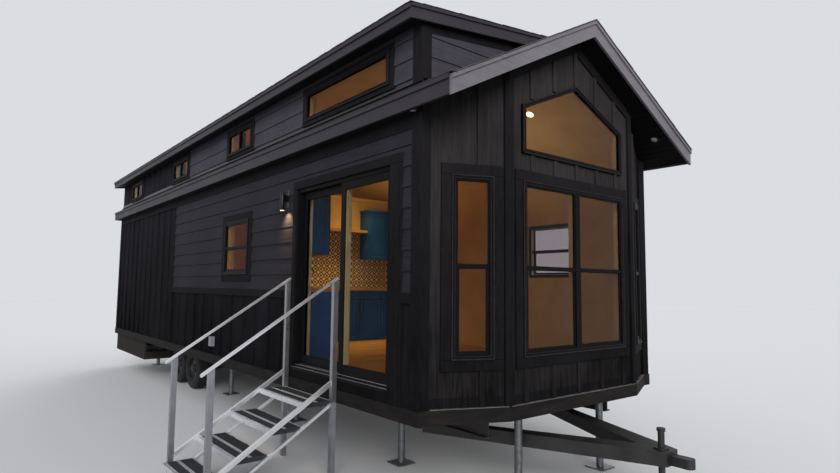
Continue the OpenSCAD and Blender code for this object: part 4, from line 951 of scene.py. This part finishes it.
# Casings: a head and a sill board across the whole width, and side boards butted between them
JOINT = 0.0015
BOARD_EASE = 0.002
DOOR_BOARD, DOOR_BOARD_GAP = 0.143, 0.004  # the front casing's wide board; a narrow one lies beside it
casings = []
for spot, x, width, sill, height, side, end in HUNG_WINDOWS + BAY_WINDOWS + DORMER_WINDOWS:
    x0, x1 = x - width / 2, x + width / 2
    for z0, z1 in ((sill - end, sill), (sill + height, sill + height + end)):
        casings.append(board(spot, (x0 - side, -CASING_OUT, z0), (x1 + side, 0, z1), BOARD_EASE))
    for a, b in ((x0 - side, x0), (x1, x1 + side)):
        casings.append(board(
            spot, (a, -CASING_OUT + 0.001, sill + JOINT), (b, 0, sill + height - JOINT), BOARD_EASE))
casings = joined("window_casing_boards", casings, trim_paint)
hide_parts("window_casings")

out = DOOR_CASING_OUT
rear_x, front_x = -DOOR_REAR, -DOOR_FRONT
head_low, head_high = DOOR_TOP + JOINT, DOOR_TOP + DOOR_CASING_HEAD
end_x = front_x + DOOR_CASING_FRONT
door_boards = [
    board(LEFT, (x0, y, z0), (x1, 0, z1), BOARD_EASE)
    for x0, y, z0, x1, z1 in (
        (rear_x - DOOR_CASING_REAR, -out, head_low, end_x, head_high),
        (rear_x - DOOR_CASING_REAR, -out, BAND_TOP, rear_x, DOOR_TOP),
        (front_x, -out, BAND_TOP, front_x + DOOR_BOARD, DOOR_TOP),
        (front_x + DOOR_BOARD + DOOR_BOARD_GAP, -out + 0.004, BAND_TOP, end_x, DOOR_TOP),
        (rear_x + JOINT, -out + 0.003, BAND_TOP, front_x - JOINT, FLOOR_Z))]
door_boards = joined("door_casing_boards", door_boards, trim_paint)
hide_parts("door_casing")

# ---- Roof covering -----------------------------------------------------------------------------

EXPOSURE = 0.143  # height of a shingle course that shows
COURSE_L, COURSE_T, COURSE_LAP = 12.4, 0.0045, 0.012
COURSE_KINDS = 3
TAB_WIDTH, TAB_GAP, TAB_T = (0.12, 0.27), (0.05, 0.15), 0.003  # the tabs laid over a course: least and most


def shingle_courses():
    """Three courses of laminated shingles, each a thin strip with tabs of random width laid over it."""
    made = []
    for _ in range(COURSE_KINDS):
        strip = block((0, 0, 0.0005), (COURSE_L, EXPOSURE + COURSE_LAP, COURSE_T))
        shift(strip, lambda co: co.y > EXPOSURE and co.z > 0.002, (0, 0, -0.003))
        parts, x = [strip], random.uniform(0.0, 0.1)
        while x < COURSE_L - 0.3:
            width = random.uniform(*TAB_WIDTH)
            narrow = Matrix.Diagonal((width / COURSE_L, 1, 1, 1))
            parts.append(copy_of(strip, Matrix.Translation((x, 0, TAB_T)) @ narrow))
            x += width + random.uniform(*TAB_GAP)
        only(parts)
        bpy.ops.object.join()
        made.append(strip)
    return made


course_kinds = shingle_courses()


def shingle_slope(name, eave_x, eave_z, slope, reach, y0, y1):
    """Courses laid from the eave up a slope. eave_x is signed, and reach is the slope's real length."""
    side = 1 if eave_x > 0 else -1
    tilt = math.atan(slope)
    up = Vector((-side * math.cos(tilt), 0, math.sin(tilt)))
    along = Vector((0, side, 0))
    normal = along.cross(up)
    start = HOME + Vector((eave_x, y0 if side > 0 else y1, eave_z))
    spot = Matrix((
        (along.x, up.x, normal.x, start.x),
        (along.y, up.y, normal.y, start.y),
        (along.z, up.z, normal.z, start.z),
        (0, 0, 0, 1),
    ))
    laid, rise, count = [], 0.0, 0
    while rise < reach - 0.02:
        offset = -0.37 * ((count * 7) % 5) / 5
        kind = course_kinds[count % COURSE_KINDS]
        laid.append(copy_of(kind, spot @ Matrix.Translation((offset, rise, 0.0008))))
        rise += EXPOSURE
        count += 1
    piece = joined(name, laid, shingle)
    cut_away(piece, HOME + Vector((0, y0, 0)), (0, -1, 0))
    cut_away(piece, HOME + Vector((0, y1, 0)), (0, 1, 0))
    cut_away(piece, start + up * reach, up)


def deck(x):
    """Height of the roof's deck, under the shingles."""
    return roof_top(x) - SHINGLE_ROOM


LIP = 0.006  # how far the shingles reach past the boards at a roof's edge
edge_x = EAVE_HALF + BARGE + STRIP - 0.001
rake_front = ROOF_FRONT - LIP
rake_rear = ROOF_REAR - 0.001
slope_len = math.hypot(EAVE_HALF, PITCH * EAVE_HALF) - 0.004
shingle_slope("right_slope_shingles", EAVE_HALF, deck(EAVE_HALF), PITCH, slope_len, rake_front, rake_rear)
shingle_slope("bay_slope_shingles", -EAVE_HALF, deck(EAVE_HALF), PITCH, slope_len, rake_front, -0.001)
strip_reach = (EAVE_HALF - HALF_W) * math.hypot(1, PITCH)
shingle_slope("eave_strip_shingles", -EAVE_HALF, deck(EAVE_HALF), PITCH, strip_reach - 0.002, 0.0, rake_rear)
dormer_edge = DORMER_EDGE + BARGE + STRIP + LIP
dormer_reach = (dormer_edge - DORMER_MEET) * math.hypot(1, DORMER_PITCH)
shingle_slope("dormer_shingles", -dormer_edge, dormer_top(-dormer_edge) - SHINGLE_ROOM, DORMER_PITCH,
              dormer_reach, DORMER_FRONT - LIP, rake_rear)
for kind in course_kinds:
    bpy.data.objects.remove(kind)

# Shingles cut along the gable's rakes: three layers thick, each end a little out of line
RAKE_END_LAP, RAKE_END_DEPTH, RAKE_END_T = 0.010, 0.080, 0.0085
rake_ends = []
for side in (-1, 1):
    tilt = side * math.atan(PITCH)
    for step in range(int(slope_len / EXPOSURE)):
        along = 0.006 + step * EXPOSURE
        ragged = random.uniform(0.001, 0.006)
        low, high = along, along + EXPOSURE + RAKE_END_LAP
        if side < 0:
            low, high = -high, -low
        end = block((low, rake_front - ragged, 0.0005), (high, rake_front + RAKE_END_DEPTH, RAKE_END_T), 0.001)
        shift(end, lambda co: abs(co.x) > along + EXPOSURE / 2, (0, 0, 0.002))
        end.data.transform(
            Matrix.Translation(HOME + Vector((0, 0, RIDGE_Z - SHINGLE_ROOM))) @ Matrix.Rotation(tilt, 4, "Y"))
        rake_ends.append(end)
joined("rake_edge_shingles", rake_ends, shingle)

# Starter strips that carry the lowest course over the eave boards
STARTER_IN, STARTER_TOP = 0.020, EAVE_TOP + 0.0055
starters = [
    board(HOUSE, (x0, rake_front, EAVE_TOP), (x1, rake_rear, STARTER_TOP), 0.001)
    for x0, x1 in ((EAVE_HALF - STARTER_IN, edge_x), (-edge_x - LIP, -EAVE_HALF + STARTER_IN))]
joined("starter_strips", starters, shingle)


def roof_board(side, reach, y0, y1):
    """One slope of the roof's deck, a slab sawn plumb at the ridge and at its lower edge."""
    slab = block((0, y0, RIDGE_Z - ROOF_THICK), (reach, y1, RIDGE_Z - SHINGLE_ROOM))
    shift(slab, lambda co: co.x > reach / 2, (0, 0, -PITCH * reach))
    if side < 0:
        slab.data.transform(Matrix.Diagonal((-1, 1, 1, 1)))
        slab.data.flip_normals()
    return set_down(slab, HOUSE)


deck_front = ROOF_FRONT + STRIP + BARGE
deck_rear = ROOF_REAR - STRIP - BARGE
slopes = [roof_board(1, EAVE_HALF, deck_front, deck_rear), roof_board(-1, DORMER_MEET, 0.0, deck_rear)]
slopes = joined("main_roof_deck", slopes, roof_slab)
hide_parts("main_roof")

# Ridge caps: bent shingles lapped along the ridge
CAP_HALF, CAP_EXPOSURE, CAP_T = 0.112, 0.180, 0.0035
cap = block((-CAP_HALF, 0, -CAP_T), (CAP_HALF, CAP_EXPOSURE + 0.060, 0.0))
choose(cap, "FACE", every)
bpy.ops.mesh.bisect(plane_co=(0, 0, 0), plane_no=(1, 0, 0))
leave()
shift(cap, lambda co: abs(co.x) > CAP_HALF / 2, (0, 0, -CAP_HALF * PITCH))
shift(cap, lambda co: co.y > CAP_EXPOSURE, (0, 0, -CAP_T))
row = cap.modifiers.new("row", "ARRAY")
row.use_relative_offset = False
row.use_constant_offset = True
row.constant_offset_displace = (0, CAP_EXPOSURE, 0)
row.count = int((ROOF_REAR - rake_front - 0.06) / CAP_EXPOSURE)
bpy.ops.object.modifier_apply(modifier="row")
cap.data.transform(Matrix.Translation(HOME + Vector((0, rake_front, RIDGE_Z - 0.0002))))
joined("ridge_caps", [cap], shingle)

# Flashing that turns up against the dormer's wall
foot = roof_top(HALF_W)
apron = [
    board(HOUSE, (-HALF_W - 0.006, CORNER, foot - 0.012), (-HALF_W - 0.001, REAR_Y, DORMER_FOOT), 0.001),
    board(HOUSE, (-HALF_W - 0.050, 0.0, foot + 0.018), (-HALF_W - 0.006, REAR_Y, foot + 0.021), 0.001),
]
joined("dormer_apron_flashing", apron, flashing)

# Drip flashing that laps over the top edge of the bay's belly band, its lip left bare
band_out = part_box("bay_front_wall")[0].y - band_low.y
angled = math.hypot(BAY_OUT, BAY_HALF - BAY_FLAT) / 2
bay_drips = [
    board(spot, (-reach, -band_out - 0.003, BAND_TOP), (reach, -0.001, BAND_TOP + 0.004), 0.001)
    for spot, reach in ((BAY, BAY_FLAT - 0.010), (BAY_LEFT, angled - 0.010), (BAY_RIGHT, angled - 0.010))]
joined("bay_drip_flashing", bay_drips, drip_metal)

# ---- Soffit boards -----------------------------------------------------------------------------

PLANK, PLANK_GAP, PLANK_T = 0.089, 0.004, 0.010


def bay_wall_y(x):
    """Where the bay's outer face stands at a distance from the middle."""
    off = abs(x)
    if off <= BAY_FLAT:
        return -BAY_OUT
    if off >= BAY_HALF:
        return 0.0
    return -BAY_OUT * (BAY_HALF - off) / (BAY_HALF - BAY_FLAT)


def plank_end(side, x0, x1):
    """Where a plank that spans x0 to x1 stops towards the rear."""
    if x0 <= HALF_W - 0.1:
        return bay_wall_y(x0) + 0.03
    if side < 0:
        return 0.0
    return ROOF_REAR - STRIP if x1 > HALF_W + 0.03 else 0.02  # the right eave is planked to its rear end


planks = []
tilt = math.atan(PITCH)
plank_run = PLANK * math.cos(tilt)
for side in (-1, 1):
    for i in range(int(EAVE_HALF / plank_run)):
        x0 = EAVE_HALF - 0.002 - i * plank_run
        rear = plank_end(side, x0, x0 - plank_run)
        plank = block((PLANK_GAP - PLANK, deck_front, -PLANK_T), (0, rear, 0), 0.0025)
        if side < 0:
            plank.data.transform(Matrix.Translation((PLANK - PLANK_GAP, 0, 0)))
        place = HOME + Vector((side * x0, 0, roof_top(x0) - ROOF_THICK))
        plank.data.transform(Matrix.Translation(place) @ Matrix.Rotation(side * tilt, 4, "Y"))
        planks.append(plank)
joined("overhang_soffit_boards", planks, soffit_paint)

# ---- Lights ------------------------------------------------------------------------------------

LIGHT_Y = DOOR_REAR + 0.220
LIGHT_Z = DOOR_TOP - 0.226
LIGHT_OFF, LIGHT_R, LIGHT_H = 0.095, 0.027, 0.203
PLATE_HALF, PLATE_OUT, PLATE_LOW = 0.025, 0.020, 0.044
ARM_LOW, ARM_H, ARM_HALF = 0.104, 0.078, 0.013
plate_z = LIGHT_Z + PLATE_LOW
lamp_foot = Vector((-LIGHT_Y, -LIGHT_OFF, LIGHT_Z))
UP = Vector((0, 0, 1))
tube = round_bar(LEFT, lamp_foot, lamp_foot + LIGHT_H * UP, LIGHT_R, 40, 0.002)
choose(tube, "FACE", lambda face: many_sided(face) and face.normal.z < -0.9)
bpy.ops.mesh.inset(thickness=0.003)
bpy.ops.mesh.extrude_region_move(TRANSFORM_OT_translate={"value": (0, 0, 0.004)})
leave()
plate = board(
    LEFT, (-LIGHT_Y - PLATE_HALF, -PLATE_OUT, plate_z), (-LIGHT_Y + PLATE_HALF, 0, plate_z + LIGHT_H), 0.003)
arm_z = LIGHT_Z + ARM_LOW
arm = board(LEFT, (-LIGHT_Y - ARM_HALF, -LIGHT_OFF, arm_z), (-LIGHT_Y + ARM_HALF, -0.010, arm_z + ARM_H), 0.002)
wall_lamp = joined("wall_lamp", [tube, plate, arm], black_metal)
diffuser = round_bar(LEFT, lamp_foot - 0.001 * UP, lamp_foot + 0.006 * UP, 0.0235, 32, 0.002)
joined("wall_lamp_diffuser", [diffuser], lamp_glow)
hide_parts("outside_lights")

SOFFIT_OFF = 0.068
corner_spot = Matrix.Translation(HOME + Vector((-HALF_W - SOFFIT_OFF, 0.030, SOFFIT_Z)))
soffit_x = BAY_HALF - 0.228
gable_spot = Matrix.Translation(HOME + Vector((
    soffit_x, ROOF_FRONT + STRIP + 0.195, roof_top(soffit_x) - ROOF_THICK - PLANK_T))) @ Matrix.Rotation(tilt, 4, "Y")
trims, discs = [], []
for spot, radius in ((gable_spot, 0.055), (corner_spot, 0.040)):
    trims.append(round_bar(spot, (0, 0, -0.008), (0, 0, 0.004), radius, 40, 0.003))
    discs.append(round_bar(spot, (0, 0, -0.0095), (0, 0, -0.007), radius * 0.6, 32, 0.001))
joined("soffit_lamp_trims", trims, black_metal)
joined("soffit_lamp_diffusers", discs, soffit_opal)

# Ceiling lamps inside, set flush in the sloping ceiling
CEILING_LAMPS = ((0.678, 0.858), (0.678, 3.2), (-0.55, 7.6), (0.678, 7.6), (0.678, 10.2))
ceiling = []
for x, y in CEILING_LAMPS:
    z = roof_top(x) - ROOF_THICK if x > 0 else min(roof_top(x) - ROOF_THICK, dormer_top(x) - DORMER_THICK)
    slope = math.atan(PITCH) if x > 0 else -math.atan(DORMER_PITCH)
    spot = Matrix.Translation(HOME + Vector((x, y, z))) @ Matrix.Rotation(slope, 4, "Y")
    ceiling.append(round_bar(spot, (0, 0, -0.006), (0, 0, 0.004), 0.048, 32, 0.002))
joined("ceiling_lamps", ceiling, lamp_glow)

# ---- Interior: floor boards, splashback, handles, tap ------------------------------------------

FLOOR_BOARD, FLOOR_TOP = 0.150, FLOOR_Z + 0.010
BAY_FLOOR_HALF = 1.500


def floor_boards(x, end, front_of, rear):
    """Floor boards side by side from x to end. front_of() says where the board at x starts."""
    made = []
    while x < end - 0.02:
        right = min(x + FLOOR_BOARD, end)
        made.append(board(HOUSE, (x + 0.001, front_of(x), FLOOR_Z), (right - 0.001, rear, FLOOR_TOP)))
        x += FLOOR_BOARD
    return made


boards = floor_boards(-INNER_HALF, INNER_HALF, lambda x: 0.0, REAR_Y - WALL_T)
boards += floor_boards(
    -BAY_FLOOR_HALF, BAY_FLOOR_HALF, lambda x: bay_wall_y(abs(x) + FLOOR_BOARD) + WALL_T, 0.0)
joined("oak_floor_boards", boards, oak_floor)

KITCHEN_Y = 5.080  # face of the kitchen wall
BASE_Y, BASE_TOP = KITCHEN_Y - 0.600, FLOOR_Z + 0.860
WORKTOP_TOP = BASE_TOP + 0.038
UPPER_X, UPPER_Y, UPPER_LOW, UPPER_TOP = 0.930, KITCHEN_Y - 0.330, 2.385, 3.236
SHELF_LOW, TILE_T = 2.850, 0.008
PASS_X = -INNER_HALF + 0.800
splash = [
    board(HOUSE, (x0, KITCHEN_Y - TILE_T, WORKTOP_TOP), (x1, KITCHEN_Y, top), 0.001)
    for x0, x1, top in ((PASS_X + 0.004, UPPER_X, SHELF_LOW), (UPPER_X, INNER_HALF, UPPER_LOW))]
joined("mosaic_splashback", splash, mosaic)

PULL_LENGTH, PULL_OUT, PULL_END = 0.150, 0.028, 0.012


def pull(x, y, z):
    """A bar handle on two feet."""
    half, foot = PULL_LENGTH / 2, PULL_LENGTH / 2 - PULL_END
    front = y - PULL_OUT
    return [round_bar(HOUSE, (x, front, z - half), (x, front, z + half), 0.006, 12, 0.001)] + [
        round_bar(HOUSE, (x, front, z + off), (x, y + 0.002, z + off), 0.005, 12) for off in (-foot, foot)]


PANEL_RAIL = 0.062


def door_edges(x0, x1, y, z0, z1, panelled=True):
    """Near-navy strips of painted shade round a cabinet front and round its sunk panel."""
    rings = [window_ring(HOUSE, x0, x1, z0, z1, 0.006, y - 0.0006, y + 0.004)]
    if panelled:
        rings.append(window_ring(HOUSE, x0 + PANEL_RAIL, x1 - PANEL_RAIL, z0 + PANEL_RAIL, z1 - PANEL_RAIL, 0.007,
                                 y - 0.0006, y + 0.006))
    return rings


CABINETS, CABINET_W, FIRST_CABINET = 3, 0.850, PASS_X + 0.152
FRONT_LOW, FRONT_HIGH, DRAWER = FLOOR_Z + 0.110, BASE_TOP - 0.008, 0.142
edges, pulls = [], []
for i in range(CABINETS):
    x0 = FIRST_CABINET + i * CABINET_W
    x1 = min(x0 + CABINET_W, INNER_HALF - 0.010)
    middle = (x0 + x1) / 2
    edges += door_edges(x0, x1, BASE_Y, FRONT_HIGH - DRAWER, FRONT_HIGH, False)
    edges += door_edges(x0, middle, BASE_Y, FRONT_LOW, FRONT_HIGH - DRAWER)
    edges += door_edges(middle, x1, BASE_Y, FRONT_LOW, FRONT_HIGH - DRAWER)
    for side in (-1, 1):
        pulls += pull(middle + side * 0.036, BASE_Y, 1.574)
pulls += pull(1.300, UPPER_Y, 2.520)
upper_mid = (UPPER_X + INNER_HALF) / 2 + 0.042
for x0, x1 in ((UPPER_X + 0.004, upper_mid), (upper_mid, INNER_HALF - 0.008)):
    edges += door_edges(x0, x1, UPPER_Y, UPPER_LOW + 0.008, UPPER_TOP - 0.026)
joined("cabinet_pulls", pulls, black_metal)
joined("cabinet_door_painted_shade", edges, cabinet_shade)

# Cornice over the upper cabinets
CORNICE_TOP, CORNICE_X, cornice_y = UPPER_TOP + 0.032, UPPER_X - 0.025, UPPER_Y - 0.0005
cornice = [
    board(HOUSE, (CORNICE_X, UPPER_Y - 0.026, UPPER_TOP), (INNER_HALF, cornice_y, CORNICE_TOP), 0.006),
    board(HOUSE, (CORNICE_X, cornice_y, UPPER_TOP), (UPPER_X - 0.0005, KITCHEN_Y, CORNICE_TOP), 0.006),
]
joined("upper_cabinet_cornice", cornice, cabinet_paint)

# Black tap: an upright with a spout swept round a little more than half a circle
TAP_X, TAP_Y, TAP_Z = -0.200, KITCHEN_Y - 0.180, WORKTOP_TOP
TAP_H, SPOUT_BEND = 0.240, 0.080
bpy.ops.mesh.primitive_circle_add(vertices=16, radius=0.011, fill_type="NOTHING", location=(0.0, 0.0, TAP_H))
spout = bpy.context.object
bpy.ops.object.transform_apply(location=True)
choose(spout, "VERT", every)
bpy.ops.mesh.spin(steps=14, angle=math.radians(-190), center=(0, -SPOUT_BEND, TAP_H), axis=(1, 0, 0))
leave()
choose(spout, "VERT", every)
bpy.ops.mesh.remove_doubles(threshold=0.0001)
bpy.ops.mesh.normals_make_consistent(inside=False)
leave()
bpy.ops.object.shade_smooth()
spout.data.transform(Matrix.Translation(HOME + Vector((TAP_X, TAP_Y, TAP_Z))))
tap_base = round_bar(HOUSE, (TAP_X, TAP_Y, TAP_Z), (TAP_X, TAP_Y, TAP_Z + TAP_H), 0.012, 16)
tap_foot = round_bar(HOUSE, (TAP_X, TAP_Y, TAP_Z), (TAP_X, TAP_Y, TAP_Z + 0.025), 0.026, 24, 0.003)
tap_lever = round_bar(HOUSE, (TAP_X, TAP_Y, TAP_Z + 0.090), (TAP_X + 0.075, TAP_Y, TAP_Z + 0.115), 0.006, 12)
joined("tap", [spout, tap_base, tap_foot, tap_lever], black_metal)

# ---- Door details ------------------------------------------------------------------------------

DOOR_JAMB = 0.040
SILL_RIBS = (0.001, 0.046, 0.092)  # the sill's outer lip and the ribs of its two tracks
sill_z = FLOOR_Z + 0.054
strips = [board(LEFT, (-DOOR_REAR, -0.031, FLOOR_Z + 0.0305), (-DOOR_FRONT, -0.001, FLOOR_Z + 0.034), 0.001)]
jamb_x = -DOOR_REAR + DOOR_JAMB
for y in SILL_RIBS:
    strips.append(board(LEFT, (jamb_x, y, sill_z - 0.002), (-DOOR_FRONT - DOOR_JAMB, y + 0.004, sill_z + 0.005), 0.001))
joined("door_sill_strips", strips, aluminium)
inner_face, casing_face = WALL_T, WALL_T + 0.035
inner_casing = [
    board(LEFT, (x0, inner_face, z0), (x1, casing_face, DOOR_TOP + 0.040), 0.002)
    for x0, x1, z0 in (
        (jamb_x - 0.080, jamb_x + 0.038, FLOOR_TOP), (-DOOR_FRONT - 0.078, -DOOR_FRONT + 0.040, FLOOR_TOP),
        (jamb_x + 0.040, -DOOR_FRONT - 0.080, DOOR_TOP - 0.030))]
joined("inner_door_casing", inner_casing, casing_wood)

# A pale wood-coloured strip on the sliding panel's meeting stile, which shows through the fixed pane beside it, paints
# the warm room light on the stile
slide_low, slide_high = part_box("door_sliding_panel")
stile_x, stile_y = slide_low.x, slide_low.y
lit_strip_low, lit_strip_high = slide_low.z + 0.020, slide_high.z - 0.020
stile_painted_light = [
    block((stile_x + 0.002, stile_y - 0.0015, lit_strip_low), (slide_high.x - 0.002, stile_y + 0.001, lit_strip_high), 0.0005),
    block((stile_x - 0.001, stile_y + 0.001, lit_strip_low), (stile_x + 0.001, stile_y + 0.040, lit_strip_high), 0.0005),
]
joined("sliding_stile_painted_light", stile_painted_light, casing_wood, "sliding_panel")

# ---- Stair details -----------------------------------------------------------------------------

tread_low, tread_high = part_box("stair_treads")
TREADS, TREAD_D, RUN, RISE, TREAD_T = 4, 0.300, 0.328, 0.204, 0.045
RIB_H, RIB_SHARE = 0.003, 0.72  # a rib's height, and its share of the ribs' pitch
# Bands of ribs: distance from the tread's front edge, width and number of ribs
RIB_BANDS = ((0.0, 0.040, 4), (0.128, 0.036, 3), (0.286, 0.014, 1))
rib_near, rib_far = tread_low.y + 0.001, tread_high.y - 0.001
nosing_parts = []
for i in range(TREADS):
    x, z = tread_high.x - TREAD_D - i * RUN, tread_high.z - i * RISE
    for start, width, ribs in RIB_BANDS:
        for k in range(ribs):
            rib_x = x + start + k * width / ribs
            nosing_parts.append(block(
                (rib_x, rib_near, z), (rib_x + RIB_SHARE * width / ribs, rib_far, z + RIB_H), 0.0008))
    nosing_parts.append(block((x - 0.003, rib_near, z - TREAD_T), (x - 0.0002, rib_far, z + RIB_H), 0.0008))
joined("tread_nosings", nosing_parts, aluminium_with_painted_highlight)

# ---- Wheels ------------------------------------------------------------------------------------

WHEEL_SIDES, WHEEL_SMOOTH = 56, math.radians(32)
RIM_RADIUS, RIM_IN = 0.207, 0.016  # RIM_IN is how far the rim's lip lies inside the tyre's wall
# Steps of the lathe: how far in, and how far out or in along the axle
DISC_STEPS = [(0.011, -0.034), (0.034, -0.012), (0.060, 0.006), (0.026, 0.026), (0.022, 0.008)]
BACK_STEPS = [(0.011, -0.085), (0.090, 0.020)]
SIDEWALL_STEPS = [(0.014, 0.004), (0.055, 0.0), (0.012, -0.010)]
LUG_ROWS, LUGS, LUG_HALF = (-0.048, -0.016, 0.016, 0.048), 44, 0.013
NUTS, NUT_CIRCLE = 5, 0.062


def drum(radius, depth):
    """A plain drum across the X axis, to be worked on from its two ends."""
    bpy.ops.mesh.primitive_cylinder_add(
        vertices=WHEEL_SIDES, radius=radius, depth=depth, rotation=(0, math.radians(90), 0))
    piece = bpy.context.object
    bpy.ops.object.transform_apply(location=True, rotation=True, scale=True)
    return piece


def work_end(piece, side, steps):
    """Works a drum's end as on a lathe: each step insets the end's face by a width and pushes it out or in."""
    choose(piece, "FACE", lambda face: many_sided(face) and face.normal.x * side > 0.9)
    for inset, push in steps:
        bpy.ops.mesh.inset(thickness=inset)
        if push:
            bpy.ops.mesh.extrude_region_move(TRANSFORM_OT_translate={"value": (side * push, 0, 0)})
    leave()


def tyre_of(radius, half):
    """A tyre: rounded shoulders, bulged walls with a raised rib, and an open middle for the rim."""
    tyre = drum(radius - 0.009, 2 * (half - 0.004))
    choose(tyre, "FACE", many_sided)
    bpy.ops.mesh.bevel(offset=0.040, segments=4, profile=0.6)
    leave()
    for side in (-1, 1):
        work_end(tyre, side, SIDEWALL_STEPS)
    choose(tyre, "FACE", many_sided)
    bpy.ops.mesh.inset(thickness=0.0275)
    bpy.ops.mesh.bridge_edge_loops()
    leave()
    bpy.ops.object.shade_smooth_by_angle(angle=WHEEL_SMOOTH)
    return tyre


def rim_of(side, half):
    """A dished steel rim: the lip, the drop centre, the disc and the hub, worked from both ends."""
    rim = drum(RIM_RADIUS, 2 * (half - RIM_IN))
    work_end(rim, side, DISC_STEPS)
    work_end(rim, -side, BACK_STEPS)
    rim.modifiers.new("eased", "BEVEL").width = 0.002
    bpy.ops.object.modifier_apply(modifier="eased")
    bpy.ops.object.shade_smooth_by_angle(angle=WHEEL_SMOOTH)
    return rim


def wheel(node_name, side):
    """A trailer tyre with its tread blocks, on a dished steel rim with nuts and a hub cap."""
    low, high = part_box(node_name)
    centre = (low + high) / 2
    radius, half = (high.z - low.z) / 2, (high.x - low.x) / 2
    pieces = [tyre_of(radius, half)]
    for k, across in enumerate(LUG_ROWS):
        low = (across - LUG_HALF, -LUG_HALF, radius - 0.0095)
        lug = block(low, (across + LUG_HALF, LUG_HALF, radius - 0.0002), 0.002)
        for step in range(LUGS):
            pieces.append(copy_of(lug, Matrix.Rotation(2 * math.pi * (step + 0.5 * (k % 2)) / LUGS, 4, "X")))
        bpy.data.objects.remove(lug)
    tyre = joined(node_name + "_tyre", pieces, rubber, node_name)
    parts = [rim_of(side, half)]
    face_x = half - RIM_IN + sum(push for _, push in DISC_STEPS[:4])
    for step in range(NUTS):
        turn = 2 * math.pi * (step + 0.5) / NUTS
        start = Vector((side * (face_x - 0.006), NUT_CIRCLE * math.sin(turn), NUT_CIRCLE * math.cos(turn)))
        parts.append(round_bar(Matrix.Identity(4), start, start + Vector((side * 0.022, 0, 0)), 0.0095, 6, 0.001))
    hub_x = face_x + 0.004
    parts.append(round_bar(
        Matrix.Identity(4), (side * hub_x, 0, 0), (side * (hub_x + 0.018), 0, 0), 0.034, 24, 0.006))
    rim = joined(node_name + "_rim", parts, rim_steel_with_painted_shade, node_name)
    for piece in (tyre, rim):
        piece.data.transform(Matrix.Translation(centre))
    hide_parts(node_name)


for hand, side in (("left", -1), ("right", 1)):
    for place in ("front", "rear"):
        wheel("wheel_%s_%s" % (hand, place), side)

# ---- Studio ------------------------------------------------------------------------------------

FLOOR_SIZE = 120
bpy.ops.mesh.primitive_plane_add(size=1, location=(0, 0, 0))
ground = bpy.context.object
ground.scale = (FLOOR_SIZE, FLOOR_SIZE, 1)
bpy.ops.object.transform_apply(scale=True)
ground.name = "studio_floor"
ground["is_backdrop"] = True


def seen_ray(tree):
    """1 for the rays that show the background: from the camera, off metal and through glass."""
    rays = node(tree, "ShaderNodeLightPath").outputs
    seen = node(tree, "ShaderNodeMath", {0: rays["Is Camera Ray"], 1: rays["Is Glossy Ray"]}, operation="MAXIMUM")
    return node(tree, "ShaderNodeMath", {0: seen, 1: rays["Is Transmission Ray"]}, operation="MAXIMUM")


# The floor looks pale but throws little light back up.
floor_mat, floor_tree, floor_shader = material("studio_floor", 0.9, ior=1.2)
floor_tone = node(floor_tree, "ShaderNodeMix", {
    0: seen_ray(floor_tree), 6: srgb("85847f"), 7: srgb("f0f0f0")}, data_type="RGBA")
plug(floor_tree, floor_shader, {"Base Color": floor_tone.outputs[2]})
ground.data.materials.append(floor_mat)

# The studio's walls: soft even light on the object, and a pale tone for the camera, in glass and in metal.
world = bpy.data.worlds.new("studio")
bpy.context.scene.world = world
world.use_nodes = True
world_tree = world.node_tree
soft_light = world_tree.nodes["Background"]
soft_light.inputs["Color"].default_value = srgb("eef0f6")
soft_light.inputs["Strength"].default_value = 0.6
backdrop = node(world_tree, "ShaderNodeBackground", {"Color": srgb("dbdde0"), "Strength": 1.0})
either = node(world_tree, "ShaderNodeMixShader", {0: seen_ray(world_tree), 1: soft_light, 2: backdrop})
plug(world_tree, world_tree.nodes["World Output"], {"Surface": either})

for name, power, way in (("soft_key", 1.7, (0.52, 0.80, -0.30)), ("soft_back_light", 0.9, (-0.55, -0.70, -0.42))):
    sun = put_in(name, bpy.data.lights.new(name, "SUN"))
    sun.data.energy = power
    sun.data.angle = math.radians(35)
    sun.rotation_euler = Vector(way).to_track_quat("-Z", "Y").to_euler()

ROOM_LAMP, ROOM_LAMP_Z = (1.0, 0.72, 0.34), 3.95
# Lamps over the rooms: their place across and along the house, and their power
ROOM_LAMPS = ((0.6, 4.4, 13), (-0.7, 4.4, 15), (0.2, 7.4, 14), (0.2, 9.8, 14))
FRONT_LAMP = (1.0, 0.86, 0.60)  # the front room's lamps are less yellow than the kitchen's
for n, (x, y, power) in enumerate(ROOM_LAMPS):
    spot = HOME + Vector((x, y, ROOM_LAMP_Z))
    lamp = area_lamp("room_lamp_%d" % n, spot, spot - UP, (0.5, 0.5), power, ROOM_LAMP)
    lamp.data.spread = math.radians(85)
# Light that the pale walls would throw up at the ceiling
for n, (x, y, z, power, tint) in enumerate((
        (0.2, 1.2, 2.9, 7.5, FRONT_LAMP), (0.3, 3.9, 3.0, 11, ROOM_LAMP), (0.2, 8.6, 3.0, 7, ROOM_LAMP))):
    spot = HOME + Vector((x, y, z))
    area_lamp("ceiling_wash_%d" % n, spot, spot + UP, (1.4, 0.5), power, tint)
glow = put_in("wall_lamp_beam", bpy.data.lights.new("wall_lamp_beam", "SPOT"))
glow.data.energy = 22
glow.data.color = ROOM_LAMP
glow.data.spot_size = math.radians(110)
glow.data.spot_blend = 0.8
glow.data.shadow_soft_size = 0.02
glow.location = LEFT @ (lamp_foot - 0.004 * UP)
glow.rotation_euler = (0, math.radians(-30), 0)

low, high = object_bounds()
